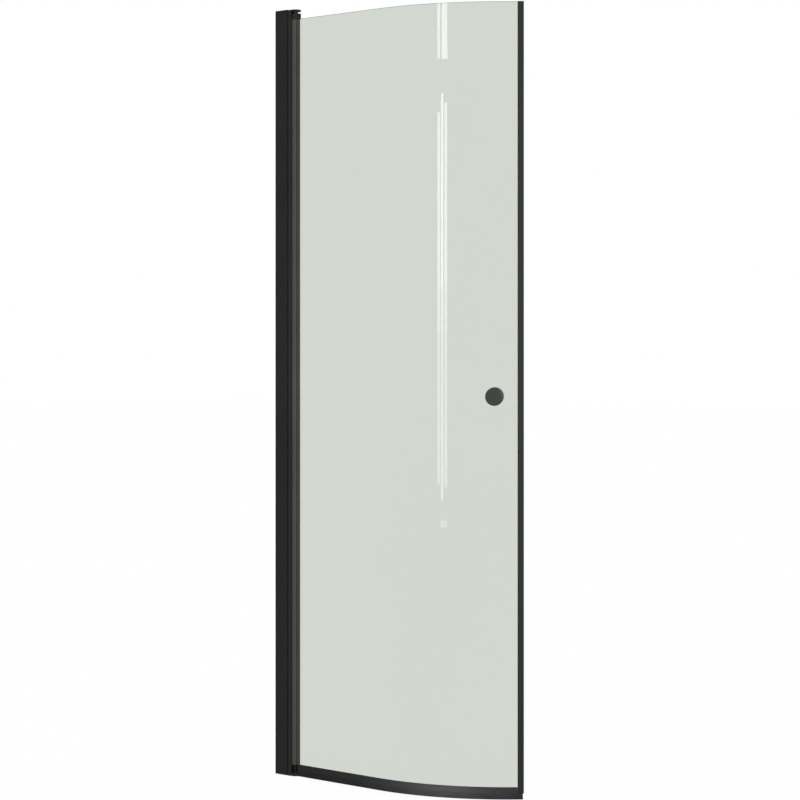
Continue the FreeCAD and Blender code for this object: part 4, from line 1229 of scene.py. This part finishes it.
def magnet_strip():
    """The soft magnet strip: rounded nose edges, a clip rib and a hollow for the magnet."""
    face, nose = closing_face(), closing_face() + MAGNET_DEPTH
    root, inner = face - CLIP_DEPTH + FIT, MAGNET_HALF - MAGNET_SKIN
    shape = even_outline([
        (root, -CLIP_HALF, 0), (face, -CLIP_HALF, 0), (face, -MAGNET_HALF, sizes().edge),
        (nose, -MAGNET_HALF, MAGNET_ROUND)])
    piece = closing_upright("magnet_strip", shape, FIT)
    hollow = box_outline(face + MAGNET_SKIN, nose - MAGNET_SKIN, -inner, inner)
    cutter = upright("hollow", hollow, CLOSING_LOW.z - OVERCUT, CLOSING_HIGH.z + OVERCUT, on_plan=True)
    return stand_for(drilled(piece, cutter), "magnet_carrier")


class SHOWERDOOR_OT_closing_edge(bpy.types.Operator):
    """Makes the closing profile, its gasket, caps and magnet strip, and dresses the magnet"""

    bl_idname = "shower_door.closing_edge"
    bl_label = "Closing edge"

    def execute(self, context):
        edge_profile()
        edge_gasket()
        edge_cap("edge_cap_top", "closing_profile_top_cap", sizes().cap_edge)
        edge_cap("edge_cap_foot", "closing_profile_bottom_cap", sizes().edge)
        magnet_strip()
        dress("magnet_bar")
        return {"FINISHED"}


# Knob

KNOB_RADIUS = 0.0215
KNOB_LENGTH = 0.032
KNOB_RIM = 0.0035
KNOB_RIM_STEPS = 10
KNOB_STEPS = 128
KNOB_FOOT_RADIUS = 0.016
KNOB_FOOT = 0.003
KNOB_WASHER = 0.0015
BOLT_HOLE = 0.00305
BOLT_DEPTH = 0.02005
GRUB_HOLE = 0.00205


def knob_half(name, node, side):
    """One half of the knob, turned about the bolt's axis and bored for the bolt.

    Its profile is a foot and a drum with a rounded rim at the back and at the front. The inner half
    also has a hole from below for its grub screw.
    """
    s, z = knob_place()
    turn = (s - sizes().bend_start) / sizes().bend_radius
    axis = side * np.array([math.sin(turn), -math.cos(turn), 0])
    foot = np.array([*plan(s, 0.0), z]) + axis * (sizes().glass / 2 + KNOB_WASHER)
    rim = KNOB_RADIUS - KNOB_RIM
    back = arc((rim, KNOB_FOOT + KNOB_RIM), KNOB_RIM, -90, 0, KNOB_RIM_STEPS)
    front = arc((rim, KNOB_LENGTH - KNOB_RIM), KNOB_RIM, 0, 90, KNOB_RIM_STEPS)
    base = [(KNOB_FOOT_RADIUS, 0), (KNOB_FOOT_RADIUS, KNOB_FOOT)]
    profile = np.concatenate([base, back[:, :2], front[:, :2]])
    drum = turned(name, profile, foot, axis, UP, KNOB_STEPS)
    cutters = [rod("bolt_hole", BOLT_HOLE, foot - axis * OVERCUT, axis, BOLT_DEPTH + OVERCUT)]
    if side < 0:
        middle = foot + axis * BOLT_DEPTH / 2
        cutters.append(rod("grub_hole", GRUB_HOLE, middle, -UP, KNOB_RADIUS + OVERCUT))
    return stand_for(drilled(drum, *cutters), node)


class SHOWERDOOR_OT_knob(bpy.types.Operator):
    """Makes both halves of the knob, and dresses the bolt, bush, grub screw and washers"""

    bl_idname = "shower_door.knob"
    bl_label = "Knob"

    def execute(self, context):
        knob_half("knob_outside", "outer_knob", 1)
        knob_half("knob_inside", "inner_knob", -1)
        dress("knob_grub_screw", "knob_bolt", "knob_glass_bush", "outer_knob_washer", "inner_knob_washer")
        return {"FINISHED"}


# Studio

FLOOR_REACH = 30.0
SENSOR_WIDTH = 36.0
WHITE = (1, 1, 1, 1)


def white_for_sight(finish):
    """One for the rays that look at the background: from the camera, or by way of metal or glass."""
    sight = finish.add("ShaderNodeLightPath", output="Is Camera Ray")
    gloss = finish.add("ShaderNodeLightPath", output="Is Glossy Ray")
    through = finish.add("ShaderNodeLightPath", output="Is Transmission Ray")
    return finish.add("ShaderNodeClamp", None, {"Value": sight + gloss + through})


def floor_finish(finish):
    """Matt pale paint that keeps the shadow, with a share of plain white where it is looked at."""
    clouds = finish.noise(scale=2.0)
    matt = finish.shader(
        Base_Color=finish.shades(clouds, colours().floor, darkest=0.99, lightest=1.01),
        Roughness=0.9, Specular_IOR_Level=0.0)
    glow = finish.add("ShaderNodeEmission", None, {"Color": WHITE, "Strength": studio().floor_white})
    share = white_for_sight(finish) * studio().floor_glow
    finish.show(finish.add("ShaderNodeMixShader", None, {0: share, 1: matt, 2: glow}))


def floor():
    """A pale, level floor, square about the origin."""
    corners = np.array([(-1, -1, 0), (1, -1, 0), (1, 1, 0), (-1, 1, 0)]) * FLOOR_REACH
    piece = mesh_piece("studio_floor", corners, [[0, 1, 2, 3]])
    piece.data.materials.append(material_named("studio_floor_finish", floor_finish))


def surroundings():
    """An even white studio: full white where it is looked at, softer as a light."""
    world = bpy.data.worlds.new("studio")
    bpy.context.scene.world = world
    world.use_nodes = True
    finish = Finish(world.node_tree)
    strength = studio().ambient + white_for_sight(finish) * (1 - studio().ambient)
    light = finish.add("ShaderNodeBackground", None, {"Color": WHITE, "Strength": strength})
    finish.add("ShaderNodeOutputWorld", None, {"Surface": light})


# The narrow lamps whose images are the streaks on the bend: shift aside, width, low, high, radiance
STREAKS = {
    "streak_left": (-0.27, 0.105, 0.56, 1.92, 4.9),
    "streak_middle": (-0.147, 0.085, 0.50, 1.99, 6.6),
    "streak_right": (-0.013, 0.11, 0.55, 1.955, 5.0),
    "streak_left_high": (-0.27, 0.105, 2.115, 2.6, 5.0),
    "streak_right_high": (-0.06, 0.21, 2.115, 2.6, 5.7),
    "spot_below": (-0.085, 0.25, 0.402, 0.43, 3.6),
}
# The streaks grow dimmer downwards: the top of each band and its share of the radiance
STREAK_BANDS = ((1.12, 0.6), (1.28, 0.8), (2.6, 1.0))
STREAK_TURN = math.radians(6.17)
STREAK_REACH = 3.0
BEND_MIDDLE = (0.52, 0.04)
# The soft boxes: turn in degrees, distance from the bend, width, height and height of the middle
SOFT_BOXES = {
    "side": (66, 3.2, 1.4, 2.6, 1.2),
    "front": (5, 3.2, 1.0, 3.0, 1.3),
    "low": (12, 0.24, 0.12, 0.14, 0.12),
}


def direction(turn):
    """A level direction turned from straight out of the door towards its free side."""
    return np.array([math.sin(turn), -math.cos(turn)])


def soft_box(name, place, target, z, width, height, radiance):
    """A rectangular lamp that faces a target on its own level z.

    Its power is radiance times pi times its area.
    """
    lamp = bpy.data.lights.new(name, "AREA")
    lamp.shape = "RECTANGLE"
    lamp.size, lamp.size_y = width, height
    lamp.energy = radiance * math.pi * width * height
    holder = bpy.data.objects.new(name, lamp)
    bpy.context.scene.collection.objects.link(holder)
    holder.visible_camera = False
    holder.visible_transmission = False
    holder.location = (*place, z)
    x, y = place - target
    holder.rotation_euler = (math.pi / 2, 0, math.atan2(-x, y) + math.pi)
    return holder


def light_group(name, pieces, state):
    """A group of pieces that a lamp is kept to, or kept off."""
    group = bpy.data.collections.new(name)
    for piece in pieces:
        group.objects.link(bpy.data.objects[piece])
    for member in group.collection_objects:
        member.light_linking.link_state = state
    return group


def lamps():
    """Narrow lamps that draw the streaks on the bend, and three soft boxes for the profiles.

    The two large boxes are kept off the glass and the floor, which would mirror or show them, and the
    low one lights only the rail and the sweep.
    """
    bend = np.array(BEND_MIDDLE)
    middle = bend + STREAK_REACH * direction(STREAK_TURN)
    for name, (shift, width, low, high, radiance) in STREAKS.items():
        aside = shift * direction(STREAK_TURN + math.pi / 2)
        for top, share in STREAK_BANDS:
            end = min(high, top)
            if end > low:
                z = (low + end) / 2
                soft_box(name, middle + aside, bend + aside, z, width, end - low, radiance * share)
                low = end
    off_the_pane = light_group("off_the_pane", ["pane", "studio_floor"], "EXCLUDE")
    on_the_rail = light_group("on_the_rail", ["rail", "sweep"], "INCLUDE")
    for kind, (turn, reach, width, height, z) in SOFT_BOXES.items():
        place = bend + reach * direction(math.radians(turn))
        radiance = getattr(studio(), kind + "_light")
        box = soft_box(kind + "_box", place, bend, z, width, height, radiance)
        box.light_linking.receiver_collection = on_the_rail if kind == "low" else off_the_pane


def camera():
    """A level camera at the photograph's viewing angle."""
    settings = studio()
    lens = bpy.data.cameras.new("camera")
    lens.sensor_fit = "HORIZONTAL"
    lens.sensor_width = SENSOR_WIDTH
    lens.lens = settings.lens
    lens.shift_y = settings.horizon_shift
    holder = bpy.data.objects.new("camera", lens)
    bpy.context.scene.collection.objects.link(holder)
    holder.location = settings.camera_place
    holder.rotation_euler = (math.pi / 2, 0, settings.camera_turn)
    bpy.context.scene.camera = holder


class SHOWERDOOR_OT_stage(bpy.types.Operator):
    """Sets up the floor, the surroundings, the lamps and the camera"""

    bl_idname = "shower_door.stage"
    bl_label = "Studio"

    def execute(self, context):
        context.scene.view_settings.view_transform = "Standard"
        floor()
        surroundings()
        lamps()
        camera()
        return {"FINISHED"}


# Panel and registration

OPERATORS = (
    SHOWERDOOR_OT_wall_side, SHOWERDOOR_OT_hinge_post, SHOWERDOOR_OT_hinge_side, SHOWERDOOR_OT_pane,
    SHOWERDOOR_OT_rail, SHOWERDOOR_OT_closing_edge, SHOWERDOOR_OT_knob, SHOWERDOOR_OT_stage,
)


class SHOWERDOOR_PT_sidebar(bpy.types.Panel):
    """Lists the pieces of the door and the studio"""

    bl_idname = "SHOWERDOOR_PT_sidebar"
    bl_label = "Shower door"
    bl_space_type = "VIEW_3D"
    bl_region_type = "UI"
    bl_category = "Shower door"

    def draw(self, context):
        for operator in OPERATORS:
            self.layout.operator(operator.bl_idname)


SETTINGS = {
    "shower_door_sizes": DoorSizes,
    "shower_door_colours": DoorColours,
    "shower_door_studio": StudioSettings,
}


def register():
    """Registers the settings, the operators and the panel."""
    for name, group in SETTINGS.items():
        bpy.utils.register_class(group)
        setattr(bpy.types.Scene, name, PointerProperty(type=group))
    for operator in OPERATORS:
        bpy.utils.register_class(operator)
    bpy.utils.register_class(SHOWERDOOR_PT_sidebar)


def unregister():
    """Removes the panel, the operators and the settings."""
    bpy.utils.unregister_class(SHOWERDOOR_PT_sidebar)
    for operator in reversed(OPERATORS):
        bpy.utils.unregister_class(operator)
    for name, group in SETTINGS.items():
        delattr(bpy.types.Scene, name)
        bpy.utils.unregister_class(group)


def main():
    """Registers the add-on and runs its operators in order."""
    register()
    for operator in OPERATORS:
        group, action = operator.bl_idname.split(".")
        getattr(getattr(bpy.ops, group), action)()


if __name__ == "__main__":
    main()
